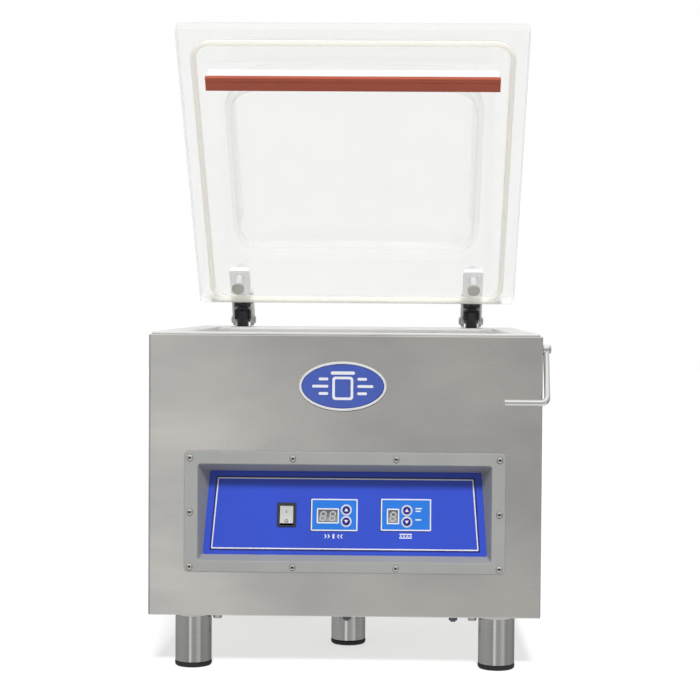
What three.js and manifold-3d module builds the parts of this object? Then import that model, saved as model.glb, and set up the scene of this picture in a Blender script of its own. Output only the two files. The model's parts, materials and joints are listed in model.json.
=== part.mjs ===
// Table-top vacuum packing machine: a stainless cabinet on five tubular legs, a drawn vacuum
// chamber under a clear domed lid on two gas springs, and a recessed control panel in front.
// Millimetres. +X is the operator's right, -Y is towards the operator, +Z is up. The origin is
// the centre of the underside of the middle foot. The lid is modelled shut, in its own group
// about the hinge line, and stands open at rest.
import * as THREE from 'three';
import { mergeVertices } from 'three/addons/utils/BufferGeometryUtils.js';
import Module from 'manifold-3d';

// ---- driving dimensions -------------------------------------------------------------------
const GAP = 0.3;                // clearance between neighbouring pieces
const BODY_WIDTH = 490;
const BODY_DEPTH = 555;
const BODY_BOTTOM = 70;
const BODY_TOP = 421;
const SHEET = 1.5;              // cabinet sheet thickness
const CORNER_R = 3;             // bent cabinet corners
const HALF_WIDTH = BODY_WIDTH / 2;

const DECK_TOP = 424;
const DECK_THICK = 2.7;
const CHAMBER = { halfX: 207, front: 36, back: 456, floor: 347, corner: 30, wall: 2 };

const LEG_R = 23;
const FOOT_HEIGHT = 6;
const LEG_X = 192.5;
const LEG_FRONT_Y = 40;
const LEG_REAR_Y = 510;
const LEG_MIDDLE_Y = 185;

const PIN_Y = 513;              // lid hinge line
const PIN_Z = 434.5;
const PIN_R = 4;
const HINGE_X = 176;            // middle of each hinge, left and right
const LID_OPEN = THREE.MathUtils.degToRad(51);
// Lid directions: x across, s from the hinge line towards the front, h from the inner face up.
const INNER_FACE = -6;          // height of the lid's inner face over the hinge line, when shut
const LID = { halfX: 240.5, back: 37.8, front: 511.8, thick: 20, corner: 6 };
const LID_EDGE = 1.6;           // bevel round the pane's outer edge
const DOME = { halfX: 174.5, back: 124, front: 413, corner: 40, rise: 45, wall: 7 };
const SEAL = { halfX: 218.5, back: 46.2, front: 490.6, corner: 25, cord: 4, groove: 4.3 };
const BAR = { halfX: 199, back: 426, front: 450, deep: 17, padThick: 6, padHalfX: 201.5 };

const SPRING_S = 22;            // spring pivot on the arm, ahead of the hinge line
const ANCHOR_Y = 494;           // lower spring anchor
const ANCHOR_Z = 205;
const SPRING_R = 9;
const ROD_R = 4;

const BEZEL = { halfX: 200, low: 124.8, high: 276.3, proud: 3.2, corner: 6 };
const RECESS = { halfX: 182.5, low: 139.7, high: 259.6 };
const PANEL = { topHalfX: 171, lowHalfX: 177.8, low: 145.2, high: 247.8, lowY: 14, highY: 34 };
const PANEL_TILT = Math.atan((PANEL.highY - PANEL.lowY) / (PANEL.high - PANEL.low));
const PANEL_CENTRE = new THREE.Vector3(0, (PANEL.lowY + PANEL.highY) / 2, (PANEL.low + PANEL.high) / 2);
const SWITCH = { x: -73.3, z: -1.7, halfX: 12.4, halfZ: 16.1 };
const SCREENS = [{ x: -21.6, halfX: 13 }, { x: 60.4, halfX: 7 }];
const SCREEN_Z = -3.4;
const SCREEN_HALF_Z = 9;
const BUTTON_X = [1.5, 77.8];
const BUTTON_Z = [4.1, -10.3];
const BUTTON_R = 6.2;

const LATCH = { y: 25, z: 404.7, x: 250.5, rodR: 4, tipX: 197, barY: -5.2, barZ: 339 };

// ---- materials ----------------------------------------------------------------------------
const finish = (color, roughness, metalness) =>
  new THREE.MeshStandardMaterial({ color, roughness, metalness });
const MATERIAL = {
  steel: finish(0xaaa9a4, 0.35, 1),
  brightSteel: finish(0xc4c4c2, 0.2, 1),
  aluminium: finish(0xc2c3c2, 0.4, 1),
  clear: finish(0xeff1f0, 0.08, 0),
  cord: finish(0xe9e3d8, 0.7, 0),
  silicone: finish(0x98402f, 0.6, 0),
  white: finish(0xf0f1f0, 0.45, 0),
  greyPlastic: finish(0x9ea09b, 0.5, 0),
  blue: finish(0x2b45c4, 0.4, 0),
  navy: finish(0x141a55, 0.45, 0),
  black: finish(0x16181b, 0.5, 0),
  rubber: finish(0x17191b, 0.85, 0),
  board: finish(0x1f6b3c, 0.6, 0),
  castPaint: finish(0x5d6a74, 0.55, 0.3),
  copper: finish(0x8a5a32, 0.5, 0.4),
};

// ---- solid modelling helpers ----------------------------------------------------------------
const wasm = await Module();
wasm.setup();

function toManifold(geometry) {
  const bare = geometry.clone();
  bare.deleteAttribute('normal');
  bare.deleteAttribute('uv');
  const merged = mergeVertices(bare, 1e-4);
  return new wasm.Manifold(new wasm.Mesh({
    numProp: 3,
    vertProperties: new Float32Array(merged.attributes.position.array),
    triVerts: new Uint32Array(merged.index.array),
  }));
}

function toGeometry(manifold) {
  const mesh = manifold.getMesh();
  const geometry = new THREE.BufferGeometry();
  geometry.setAttribute('position', new THREE.BufferAttribute(mesh.vertProperties, 3));
  geometry.setIndex(new THREE.BufferAttribute(mesh.triVerts, 1));
  return geometry;
}

function combine(base, { add = [], cut = [] }) {
  let result = toManifold(base);
  for (const piece of add) result = result.add(toManifold(piece));
  for (const piece of cut) result = result.subtract(toManifold(piece));
  return toGeometry(result);
}

function box([x0, x1], [y0, y1], [z0, z1]) {
  const geometry = new THREE.BoxGeometry(x1 - x0, y1 - y0, z1 - z0);
  return geometry.translate((x0 + x1) / 2, (y0 + y1) / 2, (z0 + z1) / 2);
}

// A cylinder along one axis, from start to end, centred on the other two coordinates.
function cylinder(axis, radius, [start, end], [u, v], sides = 16, endRadius = radius) {
  const geometry = new THREE.CylinderGeometry(endRadius, radius, end - start, sides);
  const middle = (start + end) / 2;
  if (axis === 'x') return geometry.rotateZ(-Math.PI / 2).translate(middle, u, v);
  if (axis === 'y') return geometry.translate(u, middle, v);
  return geometry.rotateX(Math.PI / 2).translate(u, v, middle);
}

const AXES = {
  x: [new THREE.Vector3(0, 1, 0), new THREE.Vector3(0, 0, 1), new THREE.Vector3(1, 0, 0)],
  y: [new THREE.Vector3(0, 0, 1), new THREE.Vector3(1, 0, 0), new THREE.Vector3(0, 1, 0)],
  z: [new THREE.Vector3(1, 0, 0), new THREE.Vector3(0, 1, 0), new THREE.Vector3(0, 0, 1)],
};

// An outline pushed along an axis: the outline is in (y, z) for x, (z, x) for y, (x, y) for z.
function extrude(axis, shape, [start, end], curveSegments = 6) {
  const options = { depth: end - start, bevelEnabled: false, curveSegments };
  const geometry = new THREE.ExtrudeGeometry(shape, options).translate(0, 0, start);
  return geometry.applyMatrix4(new THREE.Matrix4().makeBasis(...AXES[axis]));
}

function roundedRect([u0, u1], [v0, v1], r) {
  const shape = new THREE.Shape();
  shape.moveTo(u0 + r, v0);
  shape.absarc(u1 - r, v0 + r, r, -Math.PI / 2, 0);
  shape.absarc(u1 - r, v1 - r, r, 0, Math.PI / 2);
  shape.absarc(u0 + r, v1 - r, r, Math.PI / 2, Math.PI);
  shape.absarc(u0 + r, v0 + r, r, Math.PI, 1.5 * Math.PI);
  return shape;
}

// One level of a rounded rectangle, counter-clockwise, as 3D points at height z.
function ring({ halfX, y0, y1, corner, z, inset = 0 }, arc = 4) {
  const radius = Math.max(corner - inset, 0.5);
  const reachX = halfX - inset - radius;
  const reachY = (y1 - y0) / 2 - inset - radius;
  const middle = (y0 + y1) / 2;
  const points = [];
  [[1, 1], [-1, 1], [-1, -1], [1, -1]].forEach(([sx, sy], quarter) => {
    for (let i = 0; i <= arc; i += 1) {
      const angle = (quarter + i / arc) * Math.PI / 2;
      points.push(new THREE.Vector3(
        sx * reachX + radius * Math.cos(angle),
        middle + sy * reachY + radius * Math.sin(angle),
        z,
      ));
    }
  });
  return points;
}

// A closed skin through rings of equal length: capped at both ends, or joined end to start.
function skin(rings, closed = false) {
  const count = rings[0].length;
  const points = rings.flat();
  const index = [];
  const bands = closed ? rings.length : rings.length - 1;
  for (let i = 0; i < bands; i += 1) {
    for (let j = 0; j < count; j += 1) {
      const next = (j + 1) % count;
      const above = ((i + 1) % rings.length) * count;
      index.push(i * count + j, i * count + next, above + next);
      index.push(i * count + j, above + next, above + j);
    }
  }
  if (!closed) {
    addCap(points, index, 0, count, true);
    addCap(points, index, (rings.length - 1) * count, count, false);
  }
  const geometry = new THREE.BufferGeometry().setFromPoints(points);
  geometry.setIndex(index);
  return geometry;
}

function addCap(points, index, first, count, facesDown) {
  const centre = new THREE.Vector3();
  for (let j = 0; j < count; j += 1) centre.addScaledVector(points[first + j], 1 / count);
  const hub = points.push(centre) - 1;
  for (let j = 0; j < count; j += 1) {
    const a = first + j;
    const b = first + (j + 1) % count;
    index.push(hub, facesDown ? b : a, facesDown ? a : b);
  }
}

// A round bar along a path of curves.
function bar(path, radius, steps, boreRadius = 0) {
  const shape = new THREE.Shape().absarc(0, 0, radius, 0, 2 * Math.PI);
  if (boreRadius > 0) {
    shape.holes.push(new THREE.Path().absarc(0, 0, boreRadius, 0, 2 * Math.PI, true));
  }
  return new THREE.ExtrudeGeometry(shape, { steps, extrudePath: path, curveSegments: 4 });
}

const machine = new THREE.Group();

function addMesh(group, name, geometry, material) {
  const mesh = new THREE.Mesh(geometry, material);
  mesh.name = name;
  group.add(mesh);
  return mesh;
}

// ---- cabinet --------------------------------------------------------------------------------
const SCREW_PLACES = [
  ...[-192.5, -64.2, 64.2, 192.5].map((x) => [x, 267.6]),
  ...[-192.5, 192.5].map((x) => [x, 199.8]),
  ...[-192.5, -64.2, 64.2, 192.5].map((x) => [x, 131.8]),
];

function bodyShell() {
  const back = BODY_DEPTH - SHEET - GAP;
  const lip = 9;
  const outline = roundedRect([-HALF_WIDTH, HALF_WIDTH], [0, back + 2 * CORNER_R], CORNER_R);
  const innerX = HALF_WIDTH - SHEET;
  const inside = box([-innerX, innerX], [SHEET, back - SHEET], [BODY_BOTTOM + SHEET, BODY_TOP - SHEET]);
  const mouthX = HALF_WIDTH - lip;
  const topMouth = box([-mouthX, mouthX], [lip, back - lip], [BODY_TOP - 5, BODY_TOP + 5]);
  const lowMouth = box([-mouthX, mouthX], [lip, back - lip], [BODY_BOTTOM - 5, BODY_BOTTOM + 5]);
  const rearMouth = box([-mouthX, mouthX], [back - 5, back + 5], [BODY_BOTTOM + lip, BODY_TOP - lip]);
  const trim = box([-BODY_WIDTH, BODY_WIDTH], [back, back + 20], [0, 2 * BODY_TOP]);
  const wall = 4;
  const controlHole = box([-RECESS.halfX - wall, RECESS.halfX + wall], [-5, 5],
    [RECESS.low - wall, RECESS.high + wall]);
  const screwHoles = SCREW_PLACES.map(([x, z]) => cylinder('y', 2.4, [-5, 5], [x, z], 6));
  const pivotHole = cylinder('x', 3.4, [HALF_WIDTH - 5, HALF_WIDTH + 5], [LATCH.y, LATCH.z], 12);
  return combine(extrude('z', outline, [BODY_BOTTOM, BODY_TOP], 3), {
    cut: [inside, topMouth, lowMouth, rearMouth, trim, controlHole, pivotHole, ...screwHoles],
  });
}

const PAN_Z = BODY_BOTTOM + SHEET + GAP;

function basePan() {
  const halfX = HALF_WIDTH - SHEET - GAP;
  const front = SHEET + GAP;
  const back = BODY_DEPTH - 2 * SHEET - 2 * GAP;
  const plate = box([-halfX, halfX], [front, back], [PAN_Z, PAN_Z + SHEET]);
  const vents = [];
  for (let i = 0; i < 6; i += 1) {
    vents.push(box([-150, -60], [300 + i * 20, 308 + i * 20], [PAN_Z - 5, PAN_Z + 5]));
  }
  const studHoles = PUMP_STUDS.map(([x, y]) => cylinder('z', 5, [PAN_Z - 5, PAN_Z + 5], [x, y], 8));
  return combine(plate, { cut: [...vents, ...studHoles] });
}

const INLET = { x: -150, z: 120, halfX: 24, halfZ: 14 };

function rearPanel() {
  const halfX = HALF_WIDTH - 2 * GAP;
  const plate = box([-halfX, halfX], [BODY_DEPTH - SHEET, BODY_DEPTH], [BODY_BOTTOM + 1, BODY_TOP]);
  const slots = [];
  for (let row = 0; row < 9; row += 1) {
    const z = 150 + row * 16;
    slots.push(box([20, 90], [BODY_DEPTH - 5, BODY_DEPTH + 5], [z, z + 5]));
    slots.push(box([110, 180], [BODY_DEPTH - 5, BODY_DEPTH + 5], [z, z + 5]));
  }
  slots.push(box([INLET.x - INLET.halfX - GAP, INLET.x + INLET.halfX + GAP],
    [BODY_DEPTH - 5, BODY_DEPTH + 5],
    [INLET.z - INLET.halfZ - GAP, INLET.z + INLET.halfZ + GAP]));
  return combine(plate, { cut: slots });
}

function powerInlet() {
  const flange = box([INLET.x - INLET.halfX - 8, INLET.x + INLET.halfX + 8],
    [BODY_DEPTH + GAP, BODY_DEPTH + 3], [INLET.z - INLET.halfZ - 3, INLET.z + INLET.halfZ + 3]);
  const housing = box([INLET.x - INLET.halfX, INLET.x + INLET.halfX],
    [BODY_DEPTH - 26, BODY_DEPTH + 1], [INLET.z - INLET.halfZ, INLET.z + INLET.halfZ]);
  const socket = extrude('y', roundedRect([INLET.z - 8, INLET.z + 8], [INLET.x - 13, INLET.x + 13], 3),
    [BODY_DEPTH - 16, BODY_DEPTH + 5], 2);
  const contacts = [-7, 0, 7].map((dx) => box([INLET.x + dx - 1, INLET.x + dx + 1],
    [BODY_DEPTH - 18, BODY_DEPTH - 4], [INLET.z - 2, INLET.z + 2]));
  const shell = toManifold(combine(flange, { add: [housing], cut: [socket] }));
  return toGeometry(contacts.reduce((sum, contact) => sum.add(toManifold(contact)), shell));
}

// ---- deck with the drawn chamber --------------------------------------------------------------
const LIFT_X = 150;             // seal bar pistons, left and right
const LIFT_R = 6;
const SEAL_BAR_Y = PIN_Y - 440;
const PORT_Z = 395;             // suction port in the back wall of the chamber

function chamberRings(grow, topZ) {
  const { halfX, front, back, floor, corner } = CHAMBER;
  const bend = 22;
  const base = { halfX: halfX + grow, y0: front - grow, y1: back + grow, corner: corner + grow };
  const rings = [];
  for (let i = 3; i >= 0; i -= 1) {
    const angle = (i / 3) * Math.PI / 2;
    const inset = bend * (1 - Math.cos(angle));
    rings.push(ring({ ...base, inset, z: floor - grow + bend * (1 - Math.sin(angle)) }));
  }
  rings.push(ring({ ...base, z: topZ }));
  return skin(rings);
}

function chamberDeck() {
  const edge = HALF_WIDTH - 3;
  const plate = extrude('z', roundedRect([-edge, edge], [3, BODY_DEPTH - 3], 5),
    [DECK_TOP - DECK_THICK, DECK_TOP], 3);
  const outer = chamberRings(CHAMBER.wall, DECK_TOP - 1);
  const inner = chamberRings(0, DECK_TOP + 5);
  const floorUnder = CHAMBER.floor - CHAMBER.wall;
  const slots = [-HINGE_X, HINGE_X].map(
    (x) => box([x - 15, x + 15], [478.5, 526], [DECK_TOP - 9, DECK_TOP + 5]));
  const liftTubes = [-LIFT_X, LIFT_X].map(
    (x) => cylinder('z', 13, [floorUnder - 27, floorUnder + 1], [x, SEAL_BAR_Y], 14));
  const liftBores = [-LIFT_X, LIFT_X].map(
    (x) => cylinder('z', LIFT_R + GAP, [floorUnder - 24, CHAMBER.floor + 5], [x, SEAL_BAR_Y], 14));
  const portTube = cylinder('y', 12, [CHAMBER.back + 1, CHAMBER.back + 16], [0, PORT_Z], 14);
  const portBore = cylinder('y', 9, [CHAMBER.back - 5, CHAMBER.back + 20], [0, PORT_Z], 14);
  return combine(plate, {
    add: [outer, ...liftTubes, portTube],
    cut: [inner, ...slots, ...liftBores, portBore],
  });
}

const SEAL_BAR_Z = { low: 374, high: 398 };

function sealBar() {
  const span = [SEAL_BAR_Y - 8, SEAL_BAR_Y + 8];
  const body = extrude('x', roundedRect(span, [SEAL_BAR_Z.low, SEAL_BAR_Z.high], 3),
    [-199, 199], 2);
  const posts = [-LIFT_X, LIFT_X].map(
    (x) => cylinder('z', LIFT_R, [CHAMBER.floor - 12, SEAL_BAR_Z.low + 1], [x, SEAL_BAR_Y], 14));
  const wires = [-3, 3].map((dy) => box([-196, 196],
    [SEAL_BAR_Y + dy - 1.2, SEAL_BAR_Y + dy + 1.2], [SEAL_BAR_Z.high - 1, SEAL_BAR_Z.high + 0.6]));
  return combine(body, { add: [...posts, ...wires] });
}

// ---- legs -------------------------------------------------------------------------------------
const LEGS = [
  ['front_left', -LEG_X, LEG_FRONT_Y],
  ['front_right', LEG_X, LEG_FRONT_Y],
  ['middle', 0, LEG_MIDDLE_Y],
  ['rear_left', -LEG_X, LEG_REAR_Y],
  ['rear_right', LEG_X, LEG_REAR_Y],
];
const PLATE = { outer: 24, inner: 44, near: 25, deep: 40, thick: 2.5 };
const LEG_BOLTS = [[33, 0], [33, 30], [-12, 30]];   // towards the cabinet's middle, from the leg's axis

function leg(x, y) {
  const inward = x > 0 ? -1 : 1;
  const deeper = y > BODY_DEPTH / 2 ? -1 : 1;
  const top = BODY_BOTTOM - GAP;
  const span = (middle, way, low, high) => [middle + way * low, middle + way * high].sort((a, b) => a - b);
  const tube = cylinder('z', LEG_R, [FOOT_HEIGHT + GAP, top - 2], [x, y], 20);
  const bore = cylinder('z', LEG_R - 2, [FOOT_HEIGHT - 1, top - 6], [x, y], 20);
  const plate = extrude('z', roundedRect(span(x, inward, -PLATE.outer, PLATE.inner),
    span(y, deeper, -PLATE.near, PLATE.deep), 6), [top - PLATE.thick, top], 2);
  const heads = LEG_BOLTS.map(([across, deep]) => cylinder('z', 6.5, [top - PLATE.thick - 5.7, top - 2],
    [x + inward * across, y + deeper * deep], 6));
  return combine(tube, { add: [plate, ...heads], cut: [bore] });
}

function foot(x, y) {
  const rim = LEG_R + 0.4;
  const plug = LEG_R - 2 - 2 * GAP;
  const profile = [[0, 0], [rim - 2, 0], [rim, 2.5], [rim, FOOT_HEIGHT], [plug, FOOT_HEIGHT],
    [plug, FOOT_HEIGHT + 12], [0, FOOT_HEIGHT + 12]];
  const points = profile.map(([radius, z]) => new THREE.Vector2(radius, z));
  return new THREE.LatheGeometry(points, 20).rotateX(Math.PI / 2).translate(x, y, 0);
}

// ---- inside the cabinet -------------------------------------------------------------------------
const PUMP = { x0: -10, x1: 150, y0: 115, y1: 255, z0: 84, z1: 235 };
const PUMP_STUDS = [[0, 122], [140, 122], [0, 248], [140, 248]];
const PUMP_AXIS = [(PUMP.y0 + PUMP.y1) / 2, 160];

function vacuumPump() {
  const housing = extrude('x', roundedRect([PUMP.y0, PUMP.y1], [PUMP.z0, PUMP.z1], 18), [PUMP.x0, PUMP.x1], 3);
  const cover = cylinder('x', 48, [PUMP.x1 - 1, PUMP.x1 + 14], PUMP_AXIS, 16);
  const inletTube = cylinder('z', 11, [PUMP.z1 - 2, PUMP.z1 + 18], [40, PUMP_AXIS[0]], 12);
  const exhaust = cylinder('z', 20, [PUMP.z1 - 2, PUMP.z1 + 40], [110, PUMP_AXIS[0]], 12);
  const studs = PUMP_STUDS.map(([x, y]) => cylinder('z', 4, [42, PUMP.z0 + 2], [x, y], 6));
  const nuts = PUMP_STUDS.map(([x, y]) => cylinder('z', 6.5, [44, 52], [x, y], 6));
  const mounts = PUMP_STUDS.map(([x, y]) => cylinder('z', 8, [PAN_Z + SHEET + GAP, PUMP.z0 + 2], [x, y], 8));
  return combine(housing, { add: [cover, inletTube, exhaust, ...studs, ...nuts, ...mounts] });
}

function pumpMotor() {
  const body = cylinder('x', 66, [-205, PUMP.x0 - 8], PUMP_AXIS, 20);
  const fanCover = cylinder('x', 60, [-225, -204], PUMP_AXIS, 20, 66);
  const spigot = cylinder('x', 40, [PUMP.x0 - 9, PUMP.x0 - GAP], PUMP_AXIS, 16);
  const terminalBox = box([-150, -80], [PUMP_AXIS[0] - 30, PUMP_AXIS[0] + 30], [218, 248]);
  const base = box([-170, -60], [PUMP_AXIS[0] - 45, PUMP_AXIS[0] + 45], [PAN_Z + SHEET + GAP, 110]);
  return combine(body, { add: [fanCover, spigot, terminalBox, base] });
}

function sealTransformer() {
  const core = box([60, 150], [330, 400], [PAN_Z + SHEET + GAP, 150]);
  const coil = box([75, 135], [318, 412], [90, 138]);
  return combine(core, { add: [coil] });
}

function suctionHose() {
  const start = new THREE.Vector3(0, CHAMBER.back + 22, PORT_Z);
  const behind = new THREE.Vector3(1, CHAMBER.back + 36, PORT_Z - 5);
  const turn = new THREE.Vector3(10, CHAMBER.back + 42, PORT_Z - 40);
  const drop = new THREE.Vector3(35, CHAMBER.back + 14, 300);
  const over = new THREE.Vector3(45, 330, 272);
  const above = new THREE.Vector3(41, PUMP_AXIS[0] + 9, 287);
  const end = new THREE.Vector3(40, PUMP_AXIS[0], PUMP.z1 + 24);
  return bar(new THREE.CatmullRomCurve3([start, behind, turn, drop, over, above, end]), 10, 16, 7);
}

// ---- control panel -------------------------------------------------------------------------------
const panelDepth = (z) => PANEL.lowY + (z - PANEL.low) * Math.tan(PANEL_TILT);

// A four-cornered frame loop between the flange opening and the tilted panel, grown by a wall.
function trayRing(t, wall) {
  const mix = (a, b) => a + (b - a) * t;
  const topX = mix(RECESS.halfX, PANEL.topHalfX) + wall;
  const lowX = mix(RECESS.halfX, PANEL.lowHalfX) + wall;
  const high = mix(RECESS.high, PANEL.high) + wall;
  const low = mix(RECESS.low, PANEL.low) - wall;
  const lowY = mix(-BEZEL.proud - GAP, panelDepth(PANEL.low - wall));
  const highY = mix(-BEZEL.proud - GAP, panelDepth(PANEL.high + wall));
  return [
    new THREE.Vector3(-topX, highY, high),
    new THREE.Vector3(topX, highY, high),
    new THREE.Vector3(lowX, lowY, low),
    new THREE.Vector3(-lowX, lowY, low),
  ];
}

function controlBezel() {
  const flange = extrude('y', roundedRect([BEZEL.low, BEZEL.high], [-BEZEL.halfX, BEZEL.halfX], BEZEL.corner),
    [-BEZEL.proud - GAP, -GAP], 4);
  const tray = skin([trayRing(0.02, 2), trayRing(1, 2)]);
  const hollow = skin([trayRing(-0.1, 0), trayRing(1.1, 0)]);
  const holes = SCREW_PLACES.map(([x, z]) => cylinder('y', 2.4, [-6, 2], [x, z], 6));
  return combine(flange, { add: [tray], cut: [hollow, ...holes] });
}

function bezelScrew([x, z]) {
  const face = -BEZEL.proud - 2 * GAP;
  const profile = [[0, 0], [1.9, 0], [1.9, 10], [4.1, 10], [3.9, 11.2], [2.6, 12.2], [0, 12.5]];
  const points = profile.map(([radius, along]) => new THREE.Vector2(radius, along));
  return new THREE.LatheGeometry(points, 10).rotateX(Math.PI).translate(x, face + 10, z);
}

function controlPanel() {
  const halfZ = (PANEL.high - PANEL.low) / 2 / Math.cos(PANEL_TILT);
  const plate = new THREE.Shape([
    new THREE.Vector2(-halfZ - 1.5, -PANEL.lowHalfX - 1.5), new THREE.Vector2(halfZ + 1.5, -PANEL.topHalfX - 1.5),
    new THREE.Vector2(halfZ + 1.5, PANEL.topHalfX + 1.5), new THREE.Vector2(-halfZ - 1.5, PANEL.lowHalfX + 1.5),
  ]);
  const windows = SCREENS.map(({ x, halfX }) => box([x - halfX, x + halfX], [-5, 5],
    [SCREEN_Z - SCREEN_HALF_Z, SCREEN_Z + SCREEN_HALF_Z]));
  const buttonHoles = BUTTON_X.flatMap((x) => BUTTON_Z.map(
    (z) => cylinder('y', BUTTON_R + GAP, [-5, 5], [x, z], 20)));
  const switchHole = box([SWITCH.x - 10.9, SWITCH.x + 10.9], [-5, 5], [SWITCH.z - 14.8, SWITCH.z + 14.8]);
  return combine(extrude('y', plate, [GAP, GAP + 1.5]), { cut: [...windows, ...buttonHoles, switchHole] });
}

function switchHousing() {
  const { x, z, halfX, halfZ } = SWITCH;
  const rim = extrude('y', roundedRect([z - halfZ, z + halfZ], [x - halfX, x + halfX], 1.5), [-1.6, 0], 2);
  const body = box([x - 10.5, x + 10.5], [-1, 22], [z - 14.4, z + 14.4]);
  const cavity = box([x - 8.8, x + 8.8], [-6, 12], [z - 12.4, z + 12.4]);
  return combine(rim, { add: [body], cut: [cavity] });
}

const ROCKER_TILT = THREE.MathUtils.degToRad(7);
const ROCKER_PIVOT_Y = 4;

function rocker() {
  const outline = new THREE.Shape([[-3.2, -11.4], [6.5, -8.5], [6.5, 8.5], [-3.2, 11.4], [-1.2, 0]]
    .map(([y, z]) => new THREE.Vector2(y - ROCKER_PIVOT_Y, z)));
  return extrude('x', outline, [-8.4, 8.4]);
}

function controlBoard() {
  const plate = box([-48, 116], [14, 15.6], [-30, 26]);
  const screens = SCREENS.map(({ x, halfX }) => box([x - halfX + GAP, x + halfX - GAP], [0.7, 14.5],
    [SCREEN_Z - SCREEN_HALF_Z + GAP, SCREEN_Z + SCREEN_HALF_Z - GAP]));
  const switches = BUTTON_X.flatMap((x) => BUTTON_Z.map((z) => box([x - 3, x + 3], [7, 14.5], [z - 3, z + 3])));
  return combine(plate, { add: [...screens, ...switches] });
}

function buttonCap() {
  const profile = [[0, 4.5], [BUTTON_R, 4.5], [BUTTON_R, -0.4], [BUTTON_R - 0.8, -0.9], [0, -1.1]];
  const points = profile.map(([radius, along]) => new THREE.Vector2(radius, -along));
  return new THREE.LatheGeometry(points, 20).rotateX(Math.PI);
}

// ---- lid: y is -s and z is h + INNER_FACE, about the hinge line ---------------------------------
const lidSpan = ([back, front]) => [-front, -back];
const lidHigh = ([low, high]) => [low + INNER_FACE, high + INNER_FACE];

function sealLoop(profile) {
  const base = { y0: -SEAL.front, y1: -SEAL.back, halfX: SEAL.halfX, corner: SEAL.corner };
  return skin(profile.map(([out, h]) => ring({ ...base, inset: -out, z: h + INNER_FACE })), true);
}

function domeSolid(grow, fromH, crownH) {
  const base = {
    halfX: DOME.halfX + grow, y0: -DOME.front - grow, y1: -DOME.back + grow, corner: DOME.corner + grow,
  };
  const shoulder = 34;
  const sideH = 16;
  const rings = [ring({ ...base, z: fromH + INNER_FACE })];
  const steps = 4;
  for (let i = 0; i <= steps; i += 1) {
    const angle = (i / steps) * Math.PI / 2.4;
    const rise = (crownH - sideH) * 0.86 * Math.sin(angle) / Math.sin(Math.PI / 2.4);
    rings.push(ring({ ...base, inset: shoulder * (1 - Math.cos(angle)) + 1, z: sideH + rise + INNER_FACE }));
  }
  rings.push(ring({ ...base, inset: 70, corner: base.corner + 60, z: crownH - 1.5 + INNER_FACE }));
  return skin(rings);
}

function lidPane() {
  const outline = roundedRect([-LID.halfX, LID.halfX], lidSpan([LID.back, LID.front]), LID.corner);
  const plate = new THREE.ExtrudeGeometry(outline, {
    depth: LID.thick - LID_EDGE, bevelEnabled: true, bevelSize: LID_EDGE, bevelThickness: LID_EDGE,
    bevelOffset: -LID_EDGE, bevelSegments: 1, curveSegments: 3,
  }).translate(0, 0, INNER_FACE);
  const trim = box([-300, 300], [-600, 0], [INNER_FACE - 10, INNER_FACE]);
  const groove = sealLoop([[SEAL.groove, -3], [SEAL.groove, 4.2], [-SEAL.groove, 4.2], [-SEAL.groove, -3]]);
  const holes = [-HINGE_X, HINGE_X].map(
    (x) => cylinder('z', 3.6, lidHigh([-5, 30]), [x, -CLAMP_S], 12));
  return combine(plate, {
    add: [domeSolid(DOME.wall, 5, LID.thick + DOME.rise)],
    cut: [trim, domeSolid(0, -5, LID.thick + DOME.rise - DOME.wall), groove, ...holes],
  });
}

function lidGasket() {
  const sides = 10;
  const profile = Array.from({ length: sides }, (_, i) => {
    const angle = (i / sides) * 2 * Math.PI;
    return [SEAL.cord * Math.cos(angle), SEAL.cord * Math.sin(angle) - 0.2];
  });
  return sealLoop(profile);
}

function counterBar() {
  return box([-BAR.halfX, BAR.halfX], lidSpan([BAR.back, BAR.front]), lidHigh([-BAR.deep, -GAP]));
}

function siliconePad() {
  const low = -BAR.deep - GAP - BAR.padThick;
  const profile = roundedRect(lidSpan([BAR.back + 3.3, BAR.front]), lidHigh([low, -BAR.deep - GAP]), 1);
  return extrude('x', profile, [-BAR.padHalfX, BAR.padHalfX], 2);
}

const CLAMP_S = 93.5;           // clamp screws, ahead of the hinge line
const BLOCK = { back: 60.5, front: 107, deep: 8.5, halfX: 15 };

function hingeBlock(x) {
  const outline = roundedRect([x - BLOCK.halfX, x + BLOCK.halfX], lidSpan([BLOCK.back, BLOCK.front]), 4);
  const hole = cylinder('z', 3.6, lidHigh([-30, 10]), [x, -CLAMP_S], 12);
  return combine(extrude('z', outline, lidHigh([-BLOCK.deep, -GAP]), 4), { cut: [hole] });
}

function clampScrew(x) {
  const profile = [[0, -38], [8.7, -38], [9.5, -37.2], [9.5, -33.8], [8.7, -33], [6, -33],
    [6, -BLOCK.deep - GAP], [3.2, -BLOCK.deep - GAP], [3.2, 23], [0, 23]];
  const points = profile.map(([radius, h]) => new THREE.Vector2(radius, h + INNER_FACE));
  return new THREE.LatheGeometry(points, 14).rotateX(Math.PI / 2).translate(x, -CLAMP_S, 0);
}

const ARM = { halfX: 15.75, cheek: 3, webLow: LID.thick + GAP, webThick: 4, eye: 9 };
const TONGUE = { halfX: 10.5, back: 40, front: 99 };    // the arm's narrow part, clamped on the lid

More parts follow.
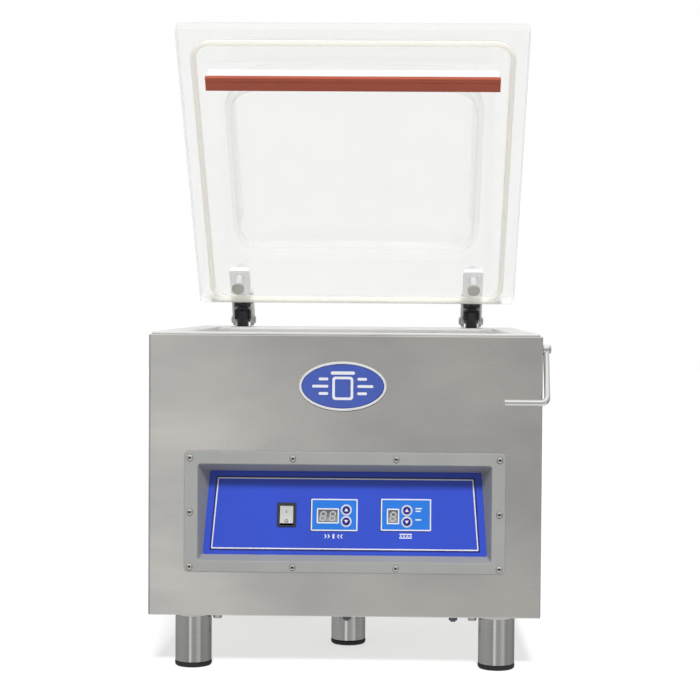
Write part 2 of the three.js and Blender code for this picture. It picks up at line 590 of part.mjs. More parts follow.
function hingeArm(x) {
  const webLow = ARM.webLow + INNER_FACE;
  const webSpan = [webLow, webLow + ARM.webThick];
  const web = box([x - ARM.halfX, x + ARM.halfX], [-TONGUE.back, ARM.eye], webSpan);
  const tongue = box([x - TONGUE.halfX, x + TONGUE.halfX], [-TONGUE.front, 1 - TONGUE.back], webSpan);
  const side = new THREE.Shape();
  side.moveTo(ARM.eye, webLow + 1);
  side.lineTo(-LID.back + 1.3, webLow + 1);
  side.lineTo(-LID.back + 1.3, 0);
  side.lineTo(-LID.back + 8, -7);
  side.lineTo(-6, -8);
  side.absarc(0, 0, ARM.eye, -0.7 * Math.PI, 0, false);
  const inner = ARM.halfX - ARM.cheek;
  const cheeks = [[x - ARM.halfX, x - inner], [x + inner, x + ARM.halfX]].map(
    (span) => extrude('x', side, span, 6));
  const crossPin = cylinder('x', 3, [x - inner - 1, x + inner + 1], [-SPRING_S, 0], 10);
  const pinBore = cylinder('x', PIN_R + GAP, [x - 20, x + 20], [0, 0], 12);
  const screwBore = cylinder('z', 3.6, [webLow - 5, webLow + 10], [x, -CLAMP_S], 12);
  return combine(web, { add: [tongue, ...cheeks, crossPin], cut: [pinBore, screwBore] });
}

// ---- hinge posts and gas springs --------------------------------------------------------------
const POST = { inner: 10.6, outer: 12.4, front: 504.5, back: 521.5, lug: 8.5 };

function hingePost(x) {
  const foot0 = PAN_Z + SHEET + GAP;
  const side = new THREE.Shape();
  side.moveTo(POST.front, foot0);
  side.lineTo(POST.back, foot0);
  side.lineTo(POST.back, PIN_Z);
  side.absarc(PIN_Y, PIN_Z, POST.lug, 0, Math.PI, false);
  side.lineTo(POST.front, 225);
  side.lineTo(ANCHOR_Y - 8, ANCHOR_Z + 8);
  side.lineTo(ANCHOR_Y - 8, ANCHOR_Z - 8);
  side.lineTo(POST.front, 185);
  const cheeks = [[x - POST.outer, x - POST.inner], [x + POST.inner, x + POST.outer]].map(
    (span) => extrude('x', side, span, 6));
  const web = box([x - POST.inner - 1, x + POST.inner + 1], [POST.back - 1.8, POST.back], [foot0, 424]);
  const base = box([x - 24, x + 24], [POST.front - 12, POST.back + 12], [foot0, foot0 + 3]);
  const anchorPin = cylinder('x', 3, [x - POST.inner - 1, x + POST.inner + 1], [ANCHOR_Y, ANCHOR_Z], 10);
  const bore = cylinder('x', PIN_R + GAP, [x - 20, x + 20], [PIN_Y, PIN_Z], 12);
  return combine(web, { add: [...cheeks, base, anchorPin], cut: [bore] });
}

function hingePin(x) {
  const profile = [[0, -19], [6, -19], [6, -16.1], [PIN_R, -16.1], [PIN_R, 16.1], [6, 16.1], [6, 19], [0, 19]];
  const points = profile.map(([radius, along]) => new THREE.Vector2(radius, along));
  return new THREE.LatheGeometry(points, 12).rotateZ(-Math.PI / 2).translate(x, PIN_Y, PIN_Z);
}

// Springs hang from their upper pivot at the origin, straight down -Z.
const springTop = new THREE.Vector2(
  PIN_Y - SPRING_S * Math.cos(LID_OPEN), PIN_Z + SPRING_S * Math.sin(LID_OPEN));
const springLean = Math.atan2(springTop.x - ANCHOR_Y, springTop.y - ANCHOR_Z);
const springLength = Math.hypot(springTop.x - ANCHOR_Y, springTop.y - ANCHOR_Z);
const TUBE_END = -160;

function springTube() {
  const eye = cylinder('x', 8.6, [-8, 8], [0, 0], 14);
  const collar = cylinder('z', 10.2, [-24, -11], [0, 0], 16);
  const shoulder = cylinder('z', 10.2, [-11, -5], [0, 0], 16, 7);
  const tube = cylinder('z', SPRING_R, [TUBE_END, -23], [0, 0], 16);
  const bore = cylinder('z', ROD_R + 2 * GAP, [TUBE_END - 5, -95], [0, 0], 10);
  const pivotBore = cylinder('x', 3 + GAP, [-20, 20], [0, 0], 12);
  return combine(tube, { add: [eye, collar, shoulder], cut: [bore, pivotBore] });
}

function springRod() {
  const rod = cylinder('z', ROD_R, [-springLength + 8, -120], [0, 0], 10);
  const neck = cylinder('z', 6, [-springLength + 8, -springLength + 22], [0, 0], 10);
  const eye = cylinder('x', 9.5, [-5, 5], [0, -springLength], 14);
  const openBore = cylinder('x', 5.6, [-10, 10], [0, -springLength], 12);
  return combine(rod, { add: [neck, eye], cut: [openBore] });
}

// ---- latch rod over the lid's front edge --------------------------------------------------------
function latchPivot() {
  const profile = [[0, 236], [6.5, 236], [6.5, 243.1], [3, 243.1], [3, 245.4], [6, 245.4], [6, 246.4],
    [3, 246.4], [3, 254.8], [5, 254.8], [5, 256], [3.8, 256.9], [0, 256.9]];
  const points = profile.map(([radius, along]) => new THREE.Vector2(radius, along));
  return new THREE.LatheGeometry(points, 12).rotateZ(-Math.PI / 2).translate(0, LATCH.y, LATCH.z);
}

function latchRod() {
  const bend = 9;
  const pivot = new THREE.Vector3(LATCH.x, LATCH.y, LATCH.z);
  const corner = new THREE.Vector3(LATCH.x, LATCH.barY, LATCH.barZ);
  const tip = new THREE.Vector3(LATCH.tipX, LATCH.barY, LATCH.barZ);
  const down = corner.clone().sub(pivot).normalize();
  const across = tip.clone().sub(corner).normalize();
  const path = new THREE.CurvePath();
  const beforeBend = corner.clone().addScaledVector(down, -bend);
  const afterBend = corner.clone().addScaledVector(across, bend);
  path.add(new THREE.LineCurve3(pivot.clone().addScaledVector(down, 5), beforeBend));
  path.add(new THREE.QuadraticBezierCurve3(beforeBend, corner, afterBend));
  path.add(new THREE.LineCurve3(afterBend, tip));
  const eye = cylinder('x', 6, [LATCH.x - 3.7, LATCH.x + 3.9], [LATCH.y, LATCH.z], 18);
  const bore = cylinder('x', 3 + GAP, [LATCH.x - 10, LATCH.x + 10], [LATCH.y, LATCH.z], 14);
  return combine(bar(path, LATCH.rodR, 16), { add: [eye], cut: [bore] });
}

// ---- assembly -----------------------------------------------------------------------------------
function addCabinet(group) {
  addMesh(group, 'body_shell', bodyShell(), MATERIAL.steel);
  addMesh(group, 'base_pan', basePan(), MATERIAL.steel);
  addMesh(group, 'rear_panel', rearPanel(), MATERIAL.steel);
  addMesh(group, 'power_inlet', powerInlet(), MATERIAL.black);
  addMesh(group, 'chamber_deck', chamberDeck(), MATERIAL.steel);
  addMesh(group, 'seal_bar', sealBar(), MATERIAL.aluminium);
  for (const [name, x, y] of LEGS) {
    addMesh(group, `leg_${name}`, leg(x, y), MATERIAL.steel);
    addMesh(group, `foot_${name}`, foot(x, y), MATERIAL.rubber);
  }
  const oval = new THREE.Shape().absellipse(357.8, -3, 30.8, 54.5, 0, 2 * Math.PI, false, 0);
  addMesh(group, 'badge_plate', extrude('y', oval, [-2.8, -GAP], 16), MATERIAL.blue);
  addMesh(group, 'latch_pivot', latchPivot(), MATERIAL.brightSteel);
  addMesh(group, 'latch_rod', latchRod(), MATERIAL.brightSteel);
}

function addMachinery(group) {
  addMesh(group, 'vacuum_pump', vacuumPump(), MATERIAL.castPaint);
  addMesh(group, 'pump_motor', pumpMotor(), MATERIAL.castPaint);
  addMesh(group, 'seal_transformer', sealTransformer(), MATERIAL.copper);
  addMesh(group, 'suction_hose', suctionHose(), MATERIAL.black);
}

function addControls(group) {
  addMesh(group, 'control_bezel', controlBezel(), MATERIAL.greyPlastic);
  SCREW_PLACES.forEach((place, i) => {
    const number = String(i + 1).padStart(2, '0');
    addMesh(group, `bezel_screw_${number}`, bezelScrew(place), MATERIAL.brightSteel);
  });
  const face = new THREE.Group();
  face.position.copy(PANEL_CENTRE);
  face.rotation.x = -PANEL_TILT;
  group.add(face);
  addMesh(face, 'control_panel', controlPanel(), MATERIAL.blue);
  addMesh(face, 'switch_housing', switchHousing(), MATERIAL.black);
  const lever = addMesh(face, 'power_rocker', rocker(), MATERIAL.white);
  lever.position.set(SWITCH.x, ROCKER_PIVOT_Y, SWITCH.z);
  lever.rotation.x = -ROCKER_TILT;
  addMesh(face, 'control_board', controlBoard(), MATERIAL.board);
  ['vacuum', 'seal'].forEach((side, i) => {
    ['up', 'down'].forEach((way, j) => {
      const cap = addMesh(face, `${side}_${way}_button`, buttonCap(), MATERIAL.navy);
      cap.position.set(BUTTON_X[i], 0, BUTTON_Z[j]);
    });
  });
}

function addLid(group) {
  const lid = new THREE.Group();
  lid.position.set(0, PIN_Y, PIN_Z);
  lid.rotation.x = -LID_OPEN;
  group.add(lid);
  addMesh(lid, 'lid_pane', lidPane(), MATERIAL.clear);
  addMesh(lid, 'lid_gasket', lidGasket(), MATERIAL.cord);
  addMesh(lid, 'counter_bar', counterBar(), MATERIAL.white);
  addMesh(lid, 'silicone_pad', siliconePad(), MATERIAL.silicone);
  for (const [side, x] of [['left', -HINGE_X], ['right', HINGE_X]]) {
    addMesh(lid, `hinge_block_${side}`, hingeBlock(x), MATERIAL.white);
    addMesh(lid, `clamp_screw_${side}`, clampScrew(x), MATERIAL.brightSteel);
    addMesh(lid, `hinge_arm_${side}`, hingeArm(x), MATERIAL.aluminium);
  }
}

function addHinges(group) {
  for (const [side, x] of [['left', -HINGE_X], ['right', HINGE_X]]) {
    addMesh(group, `hinge_post_${side}`, hingePost(x), MATERIAL.steel);
    addMesh(group, `hinge_pin_${side}`, hingePin(x), MATERIAL.brightSteel);
    const spring = new THREE.Group();
    spring.position.set(x, springTop.x, springTop.y);
    spring.rotation.x = -springLean;
    group.add(spring);
    addMesh(spring, `spring_tube_${side}`, springTube(), MATERIAL.black);
    addMesh(spring, `spring_rod_${side}`, springRod(), MATERIAL.brightSteel);
  }
}

machine.position.set(0, -LEG_MIDDLE_Y, 0);
addCabinet(machine);
addMachinery(machine);
addControls(machine);
addLid(machine);
addHinges(machine);

const vacuumPackingMachine = new THREE.Group();
vacuumPackingMachine.add(machine);
export default vacuumPackingMachine;
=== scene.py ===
# Looks for a table-top vacuum packing machine: a brushed steel cabinet on five tubular legs, a
# drawn chamber under a clear domed lid, and a recessed blue control panel in front.
# Shapes are written in millimetres in three local frames (machine, lid, panel) and placed by the
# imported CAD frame; x is the operator's right in all of them.
import json
import math

import bmesh
import bpy
from mathutils import Matrix, Vector


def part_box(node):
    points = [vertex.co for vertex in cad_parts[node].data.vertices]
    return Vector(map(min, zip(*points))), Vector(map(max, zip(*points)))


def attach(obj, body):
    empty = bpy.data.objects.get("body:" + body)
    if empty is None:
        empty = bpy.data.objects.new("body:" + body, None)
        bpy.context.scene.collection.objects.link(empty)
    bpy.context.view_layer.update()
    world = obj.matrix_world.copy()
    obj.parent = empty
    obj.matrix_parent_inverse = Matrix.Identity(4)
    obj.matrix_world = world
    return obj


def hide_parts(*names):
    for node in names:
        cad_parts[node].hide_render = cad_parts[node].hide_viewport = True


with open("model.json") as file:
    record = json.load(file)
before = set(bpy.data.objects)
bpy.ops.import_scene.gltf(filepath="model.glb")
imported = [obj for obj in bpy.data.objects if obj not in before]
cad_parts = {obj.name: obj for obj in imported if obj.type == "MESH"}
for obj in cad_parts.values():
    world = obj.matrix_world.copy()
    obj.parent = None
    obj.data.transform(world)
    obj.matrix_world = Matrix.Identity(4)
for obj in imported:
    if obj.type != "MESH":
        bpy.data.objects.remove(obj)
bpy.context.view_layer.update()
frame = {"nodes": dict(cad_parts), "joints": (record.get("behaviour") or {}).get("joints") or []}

# ---- frames and sizes taken from the CAD ----
MM = 0.001
NODES = frame["nodes"]
JOINTS = {joint["name"]: joint for joint in frame["joints"]}


def pivot(joint):
    return Vector(JOINTS[joint]["pos_m"])


def turned_about_x(place, angle):
    """A millimetre frame at place (metres), turned about x."""
    return Matrix.Translation(place) @ Matrix.Rotation(angle, 4, "X") @ Matrix.Scale(MM, 4)


def local_box(node, place):
    """Lowest and highest corner of a CAD node in a local millimetre frame."""
    back = place.inverted()
    points = [back @ vertex.co for vertex in NODES[node].data.vertices]
    low = Vector([min(p[i] for p in points) for i in range(3)])
    high = Vector([max(p[i] for p in points) for i in range(3)])
    return low, high


def middle_of(node, place):
    low, high = local_box(node, place)
    return (low + high) / 2


# Machine frame: y runs back from the cabinet's front face, z up from the floor.
MACHINE = turned_about_x((0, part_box("body_shell")[0].y, 0), 0)
# Lid frame: at the hinge line, y is minus the distance ahead of it, z is out of the lid.
LID_OPEN = math.radians(JOINTS["lid_hinge"]["range_deg"][1])
LID = turned_about_x(pivot("lid_hinge"), -LID_OPEN)
# Panel frame: at the middle of the control panel's plane, y into the machine, z up the panel.
PRESS = Vector(JOINTS["vacuum_up_press"]["axis"])
PANEL_TILT = math.atan2(-PRESS.z, PRESS.y)
panel_middle = (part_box("control_panel")[0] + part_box("control_panel")[1]) / 2
FILM_FRONT = 0.3
FILM_THICK = 1.5
PANEL = turned_about_x(panel_middle - PRESS * (FILM_FRONT + FILM_THICK / 2) * MM, -PANEL_TILT)

SHELL_LOW, SHELL_HIGH = local_box("body_shell", MACHINE)
DECK_LOW, DECK_HIGH = local_box("chamber_deck", MACHINE)
LID_LOW, LID_HIGH = local_box("lid_pane", LID)
INNER_FACE = LID_LOW.z                      # the lid's inner face in the lid frame
SIDES = ("left", "right")
HINGE_X = pivot("spring_pivot_right").x / MM


# ---- outlines and solids, in millimetres ----
def widened(span, by):
    return span[0] - by, span[1] + by


def around(steps):
    """The angles of equal steps round a full turn."""
    return [2 * math.pi * i / steps for i in range(steps)]


def rounded_rect(u, v, corner, arc=8, side=1):
    """A rounded rectangle u[0]..u[1] by v[0]..v[1], counter-clockwise, side steps per straight."""
    centres = [(u[1] - corner, v[1] - corner), (u[0] + corner, v[1] - corner),
               (u[0] + corner, v[0] + corner), (u[1] - corner, v[0] + corner)]
    points = []
    for quarter, (cu, cv) in enumerate(centres):
        for i in range(arc + 1):
            angle = (quarter + i / arc) * math.pi / 2
            points.append(Vector((cu + corner * math.cos(angle), cv + corner * math.sin(angle))))
        nu, nv = centres[(quarter + 1) % 4]
        angle = (quarter + 1) * math.pi / 2
        end = Vector((nu + corner * math.cos(angle), nv + corner * math.sin(angle)))
        for i in range(1, side):
            points.append(points[-i].lerp(end, i / side))
    return points


def rounded_polygon(corners, radius, arc=4):
    """A polygon's outline with each corner eased by a curve that starts radius away from it."""
    points = []
    for i, corner in enumerate(corners):
        here = Vector(corner)
        before, after = Vector(corners[i - 1]), Vector(corners[(i + 1) % len(corners)])
        start = here + (before - here).normalized() * radius
        end = here + (after - here).normalized() * radius
        for step in range(arc + 1):
            t = step / arc
            points.append(start.lerp(here, t).lerp(here.lerp(end, t), t))
    return points


def ellipse(centre, radius_u, radius_v):
    return [Vector((centre[0] + radius_u * math.cos(a), centre[1] + radius_v * math.sin(a)))
            for a in around(72)]


def mirrored(half, middle=0.0):
    """A whole outline from its (distance from the middle, height) half."""
    return [(middle + u, v) for u, v in half] + [(middle - u, v) for u, v in reversed(half)]


ORDER = {"x": (2, 0, 1), "y": (1, 2, 0), "z": (0, 1, 2)}   # where (u, v, along) go for each axis


def at(axis, u, v, along):
    """A point from outline coordinates: (y, z) for axis x, (z, x) for y, (x, y) for z."""
    values = (u, v, along)
    return Vector([values[i] for i in ORDER[axis]])


def ring(axis, outline, along):
    """An outline as points in space, at one place along the axis."""
    return [at(axis, p[0], p[1], along) for p in outline]


def loft(rings, closed=False):
    """A skin through rings of equal length, capped at both ends or joined end to start."""
    count = len(rings[0])
    faces = []
    for i in range(len(rings) if closed else len(rings) - 1):
        a, b = i * count, (i + 1) % len(rings) * count
        for j in range(count):
            k = (j + 1) % count
            faces.append((a + j, a + k, b + k, b + j))
    if not closed:
        faces.append(tuple(reversed(range(count))))
        faces.append(tuple(range((len(rings) - 1) * count, len(rings) * count)))
    return [point for points in rings for point in points], faces


def prism(axis, outline, start, end):
    return loft([ring(axis, outline, along) for along in (start, end)])


def block(x, y, z):
    corners = [(y[0], z[0]), (y[1], z[0]), (y[1], z[1]), (y[0], z[1])]
    return prism("x", corners, x[0], x[1])


def lathe(axis, profile, centre, sides=40, closed=False):
    """A turned solid from (radius, along) points; flat ends unless the profile is closed."""
    return loft([[at(axis, centre[0] + r * math.cos(a), centre[1] + r * math.sin(a), along)
                  for a in around(sides)] for r, along in profile], closed)


def drum(axis, radius, start, end, centre, sides=40):
    """A plain cylinder."""
    return lathe(axis, [(radius, start), (radius, end)], centre, sides)


def sweep(path, radius, sides):
    """A round bar along an open path of points."""
    last = len(path) - 1
    tangents = [(path[min(i + 1, last)] - path[max(i - 1, 0)]).normalized() for i in range(len(path))]
    side = tangents[0].orthogonal().normalized()
    rings = []
    for point, tangent in zip(path, tangents):
        side = (side - tangent * side.dot(tangent)).normalized()
        other = tangent.cross(side)
        rings.append([point + (side * math.cos(a) + other * math.sin(a)) * radius for a in around(sides)])
    return loft(rings)


def frame_band(axis, outer, inner, start, end):
    """A flat frame between two outlines of equal length."""
    loops = [(outer, start), (outer, end), (inner, end), (inner, start)]
    return loft([ring(axis, outline, along) for outline, along in loops], True)


def round_over(radius, steps=3):
    """(inset, drop) pairs of a quarter round from the side of an edge to its face."""
    angles = [i / steps * math.pi / 2 for i in range(steps + 1)]
    return [(radius * (1 - math.cos(a)), radius * (1 - math.sin(a))) for a in angles]


# ---- materials ----
def feed(tree, node, inputs):
    """Sets a node's inputs to numbers and colours, or joins them to other nodes' sockets."""
    for socket, value in inputs.items():
        if isinstance(value, bpy.types.NodeSocket):
            tree.links.new(value, node.inputs[socket])
        else:
            node.inputs[socket].default_value = value


def add_node(tree, kind, inputs=None, **settings):
    node = tree.nodes.new("ShaderNode" + kind)
    for key, value in settings.items():
        setattr(node, key, value)
    feed(tree, node, inputs or {})
    return node


def noise(tree, scale, stretch=(1, 1, 1), detail=3.0, roughness=0.55):
    """Noise over the piece in metres; a large stretch on an axis makes it fine across that axis."""
    coords = add_node(tree, "TexCoord").outputs["Object"]
    mapping = add_node(tree, "Mapping", {"Vector": coords, "Scale": stretch})
    return add_node(tree, "TexNoise", {"Vector": mapping.outputs["Vector"], "Scale": scale,
                                       "Detail": detail, "Roughness": roughness}).outputs["Fac"]


def spread(tree, value, low, high, start=0.3, end=0.7):
    """The range start..end of a value stretched over low..high."""
    return add_node(tree, "MapRange", {"Value": value, "From Min": start, "From Max": end,
                                       "To Min": low, "To Max": high}).outputs["Result"]


def maths(tree, operation, a, b=0.0, c=0.0):
    return add_node(tree, "Math", {0: a, 1: b, 2: c}, operation=operation).outputs[0]


def blend_colours(tree, factor, a, b, kind="MIX"):
    node = add_node(tree, "Mix", {0: factor, 6: a, 7: b}, data_type="RGBA", blend_type=kind)
    return node.outputs[2]


def blend_shaders(tree, factor, a, b):
    return add_node(tree, "MixShader", {"Fac": factor, 1: a, 2: b}).outputs[0]


def bumps(tree, height, strength, distance):
    """A normal tilted by a height."""
    inputs = {"Height": height, "Strength": strength, "Distance": distance}
    return add_node(tree, "Bump", inputs).outputs["Normal"]


def grey(shade):
    return shade, shade, shade, 1.0


def ramp(tree, value, *stops):
    """A colour ramp; stops are (position, grey or colour)."""
    node = add_node(tree, "ValToRGB", {"Fac": value})
    elements = node.color_ramp.elements
    while len(elements) < len(stops):
        elements.new(0.5)
    for element, (position, shade) in zip(elements, stops):
        element.position = position
        element.color = grey(shade) if isinstance(shade, float) else (*shade, 1)
    return node.outputs["Color"]


def new_material(name, inputs):
    material = bpy.data.materials.new(name)
    material.use_nodes = True
    shader = material.node_tree.nodes["Principled BSDF"]
    feed(material.node_tree, shader, inputs)
    return material, material.node_tree, shader


def show(tree, surface):
    """Makes a shader the material's surface."""
    tree.links.new(surface, tree.nodes["Material Output"].inputs["Surface"])


def shades(colour, amount):
    """A darker and a lighter version of a colour."""
    return [tuple(min(1.0, c * factor) for c in colour) for factor in (1 - amount, 1 + amount)]


def brushed(name, colour, roughness, fine_axis, cloud, grain, relief, warm=0.0, metal=1.0):
    """Brushed metal: fine lines across fine_axis, soft warm and cool clouds, faint wiping marks."""
    material, tree, shader = new_material(name, {"Metallic": metal})
    stretch = [1.6 if axis != fine_axis else 55.0 for axis in "xyz"]
    lines = noise(tree, 22.0, stretch, 4.0, 0.65)
    clouds = noise(tree, 4.2, (1, 1, 1.5), 3.0, 0.5)
    wipes = noise(tree, 9.0, (0.5, 1.5, 3.0), 2.0, 0.6)
    dark, light = shades(colour, cloud)
    light = (light[0] * (1 + warm), light[1], light[2] * (1 - warm))
    base = ramp(tree, clouds, (0.34, dark), (0.64, light))
    tint = ramp(tree, lines, (0.3, 1.0 - grain), (0.7, 1.0))
    rough = maths(tree, "ADD", spread(tree, wipes, roughness - 0.035, roughness + 0.035),
                  spread(tree, lines, -0.012, 0.012))
    feed(tree, shader, {"Base Color": blend_colours(tree, 1.0, base, tint, "MULTIPLY"),
                        "Roughness": rough, "Normal": bumps(tree, lines, relief, 0.0002)})
    return material


def moulded(name, colour, roughness, grain_scale, relief, variation, inputs=None):
    """Moulded or painted surface: fine grain, slow tone changes and a little dirt."""
    material, tree, shader = new_material(name, inputs or {})
    slow = noise(tree, 14.0)
    grain = noise(tree, grain_scale, detail=2.0)
    dark, light = shades(colour, variation)
    feed(tree, shader, {"Base Color": ramp(tree, slow, (0.3, dark), (0.7, light)),
                        "Roughness": spread(tree, slow, roughness - 0.05, roughness + 0.05),
                        "Normal": bumps(tree, grain, relief, 0.0003)})
    return material


def clear_acrylic(name):
    """Clear cast acrylic, a touch milky; mostly see-through, with a little refraction and sheen."""
    material, tree, shader = new_material(name, {"IOR": 1.49, "Transmission Weight": 1.0})
    haze = noise(tree, 7.0, detail=4.0)
    bump = bumps(tree, noise(tree, 160.0, (1.0, 0.15, 0.15), 2.0, 0.7), 0.02, 0.0002)
    tint = ramp(tree, haze, (0.3, (0.95, 0.955, 0.95)), (0.7, (0.975, 0.977, 0.97)))
    feed(tree, shader, {"Base Color": tint, "Roughness": spread(tree, haze, 0.02, 0.07), "Normal": bump})
    straight = add_node(tree, "BsdfTransparent", {"Color": (0.968, 0.970, 0.964, 1)})
    core = blend_shaders(tree, 0.18, straight.outputs[0], shader.outputs[0])
    facing = add_node(tree, "LayerWeight", {"Blend": 0.5}).outputs["Facing"]
    sheen = maths(tree, "MULTIPLY_ADD", maths(tree, "POWER", facing, 4.0), 0.5, 0.035)
    mirror = add_node(tree, "BsdfAnisotropic", {"Color": grey(1.0), "Roughness": 0.05, "Normal": bump})
    skin = blend_shaders(tree, sheen, core, mirror.outputs[0])
    milk = add_node(tree, "BsdfDiffuse", {"Color": (0.93, 0.93, 0.92, 1)})
    through = add_node(tree, "BsdfTranslucent", {"Color": (0.93, 0.93, 0.92, 1)})
    cloudy = blend_shaders(tree, 0.5, milk.outputs[0], through.outputs[0])
    body = blend_shaders(tree, spread(tree, haze, 0.06, 0.10), skin, cloudy)
    light_shadow = add_node(tree, "BsdfTransparent", {"Color": (0.92, 0.93, 0.92, 1)})
    in_shadow = add_node(tree, "LightPath").outputs["Is Shadow Ray"]
    show(tree, blend_shaders(tree, in_shadow, body, light_shadow.outputs[0]))
    return material


def translucent_cord(name):
    """Milky silicone cord: light passes its middle, the edges read a little darker, and a faint emission
    paints a glow on it.
    """
    material, tree, shader = new_material(name, {"Roughness": 0.5, "Emission Color": (1.0, 0.97, 0.92, 1.0),
                                                 "Emission Strength": 0.16})
    tone = ramp(tree, noise(tree, 14.0), (0.3, (0.93, 0.915, 0.88)), (0.7, (0.955, 0.945, 0.915)))
    feed(tree, shader, {"Base Color": tone})
    glow = add_node(tree, "BsdfTransparent", {"Color": (0.945, 0.93, 0.90, 1)})
    facing = add_node(tree, "LayerWeight", {"Blend": 0.5}).outputs["Facing"]
    solid = spread(tree, facing, 0.42, 0.66, 0.35, 1.0)
    show(tree, blend_shaders(tree, solid, glow.outputs[0], shader.outputs[0]))
    return material


def shaded_glass(name, top, bottom):
    """Display glass with painted shade, darker towards its upper edge."""
    material, tree, shader = new_material(name, {"Roughness": 0.22})
    place = add_node(tree, "TexCoord").outputs["Generated"]
    height = add_node(tree, "SeparateXYZ", {"Vector": place}).outputs["Z"]
    tone = ramp(tree, height, (0.1, bottom), (0.75, top))
    specks = ramp(tree, noise(tree, 300.0, detail=2.0), (0.3, 0.94), (0.7, 1.0))
    feed(tree, shader, {"Base Color": blend_colours(tree, 1.0, tone, specks, "MULTIPLY")})
    return material


def coated_cloth(name):
    """Woven glass tape with a brown slip coating, over the sealing wires."""
    material, tree, shader = new_material(name, {"Roughness": 0.45})
    coords = add_node(tree, "TexCoord").outputs["Object"]
    across, along = [add_node(tree, "TexWave", {"Vector": coords, "Scale": 420.0}, bands_direction=way)
                     for way in "XY"]
    weave = maths(tree, "MULTIPLY", across.outputs["Fac"], along.outputs["Fac"])
    feed(tree, shader, {"Base Color": ramp(tree, weave, (0.0, (0.16, 0.09, 0.04)), (1.0, (0.30, 0.19, 0.09))),
                        "Normal": bumps(tree, weave, 0.3, 0.0003)})
    return material


# Each look: a slot name that this script does not use (empty if only CAD nodes that stay wear it), maker,
# then the maker's values.
# Brushed metal: colour, roughness, fine axis, clouds, grain, relief, warmth and metal share.
# Mouldings: colour, roughness, the grain's scale, relief, variation and other shader inputs.
# Painted glow: a faint white emission on pale grey parts, as if light soaked through them; they are no lamps.
PAINTED_GLOW = {"Emission Color": grey(1.0), "Emission Strength": 0.12}
LOOKS = {
    "wall_steel": ("cabinet_steel", brushed, (0.620, 0.609, 0.588), 0.28, "z", 0.13, 0.022, 0.03, 0.02),
    "deck_steel": ("cabinet_steel", brushed, (0.88, 0.875, 0.86), 0.34, "y", 0.05, 0.05, 0.08, 0.0, 0.72),
    "tube_steel": ("cabinet_steel", brushed, (0.56, 0.555, 0.54), 0.15, "z", 0.05, 0.10, 0.06),
    "bright_steel": ("bright_steel", brushed, (0.80, 0.80, 0.79), 0.14, "x", 0.04, 0.04, 0.04),
    "bolt_steel": ("bright_steel", brushed, (0.55, 0.54, 0.52), 0.30, "z", 0.12, 0.06, 0.10),
    "clamp_steel": ("bright_steel", brushed, (0.56, 0.545, 0.51), 0.36, "x", 0.14, 0.10, 0.15),
    "screw_steel": ("bright_steel", brushed, (0.64, 0.63, 0.60), 0.18, "z", 0.10, 0.05, 0.05),
    "rim_silver": ("bright_steel", brushed, (0.86, 0.865, 0.87), 0.30, "y", 0.03, 0.03, 0.04, 0.0, 0.35),
    "aluminium": ("aluminium", brushed, (0.80, 0.80, 0.78), 0.45, "z", 0.05, 0.04, 0.08),
    "bracket": ("aluminium", moulded, (0.74, 0.73, 0.70), 0.45, 700.0, 0.20, 0.06, {"Metallic": 0.25}),
    "clear": ("clear_acrylic", clear_acrylic),
    "cord": ("gasket_cord", translucent_cord),
    "silicone": ("silicone", moulded, (0.46, 0.098, 0.054), 0.62, 500.0, 0.25, 0.06),
    "tape": ("silicone", coated_cloth),
    "white": ("white_plastic", moulded, (0.86, 0.865, 0.86), 0.42, 900.0, 0.08, 0.03),
    "pale_grey": ("white_plastic", moulded, (0.88, 0.885, 0.88), 0.42, 900.0, 0.10, 0.04, PAINTED_GLOW),
    "frost": ("white_plastic", moulded, (0.90, 0.90, 0.885), 0.60, 500.0, 0.10, 0.03),
    "print_white": ("white_plastic", moulded, (0.80, 0.81, 0.86), 0.45, 1500.0, 0.05, 0.03),
    "segment": ("white_plastic", moulded, (0.47, 0.485, 0.495), 0.35, 1500.0, 0.03, 0.04),
    "sleeve": ("bright_steel", moulded, (0.64, 0.645, 0.65), 0.35, 900.0, 0.06, 0.03),
    "grey_plastic": ("grey_plastic", moulded, (0.36, 0.365, 0.35), 0.50, 1100.0, 0.22, 0.04),
    "blue_film": ("blue_panel", moulded, (0.034, 0.078, 0.56), 0.42, 1600.0, 0.18, 0.05),
    "sky_film": ("blue_panel", moulded, (0.022, 0.19, 0.70), 0.42, 1600.0, 0.18, 0.03),
    "navy": ("navy_button", moulded, (0.014, 0.012, 0.20), 0.35, 1200.0, 0.10, 0.08),
    # Navy ink of the panel's printed lines; in the badge's groove the same navy is painted shade.
    "print_navy": ("navy_button", moulded, (0.016, 0.018, 0.16), 0.45, 1500.0, 0.05, 0.05),
    "badge_blue": ("badge_blue", moulded, (0.058, 0.105, 0.43), 0.30, 1200.0, 0.06, 0.06),
    "display_glass": ("black_plastic", shaded_glass, (0.125, 0.13, 0.14), (0.34, 0.35, 0.36)),
    "display_edge": ("black_plastic", moulded, (0.10, 0.10, 0.108), 0.4, 1500.0, 0.03, 0.05),
    "black_plastic": ("black_plastic", moulded, (0.030, 0.031, 0.034), 0.42, 1000.0, 0.18, 0.10),
    "spring_black": ("spring_black", moulded, (0.016, 0.018, 0.021), 0.32, 1300.0, 0.08, 0.12),
    "rocker": ("rocker_white", moulded, (0.56, 0.56, 0.55), 0.38, 1200.0, 0.06, 0.05),
    "rubber": ("foot_rubber", moulded, (0.018, 0.018, 0.020), 0.75, 600.0, 0.40, 0.15),
    "board": ("", moulded, (0.015, 0.13, 0.045), 0.45, 350.0, 0.25, 0.25),
    "casting": ("", moulded, (0.16, 0.19, 0.22), 0.55, 260.0, 0.50, 0.12, {"Metallic": 0.2}),
    "varnish": ("", moulded, (0.17, 0.085, 0.035), 0.40, 300.0, 0.35, 0.25, {"Metallic": 0.3}),
}
MATERIALS = {look: maker(look, *numbers) for look, (slot, maker, *numbers) in LOOKS.items()}


# ---- from shapes to pieces ----
SHARP = math.radians(32)                    # the angle between faces that shows as an edge


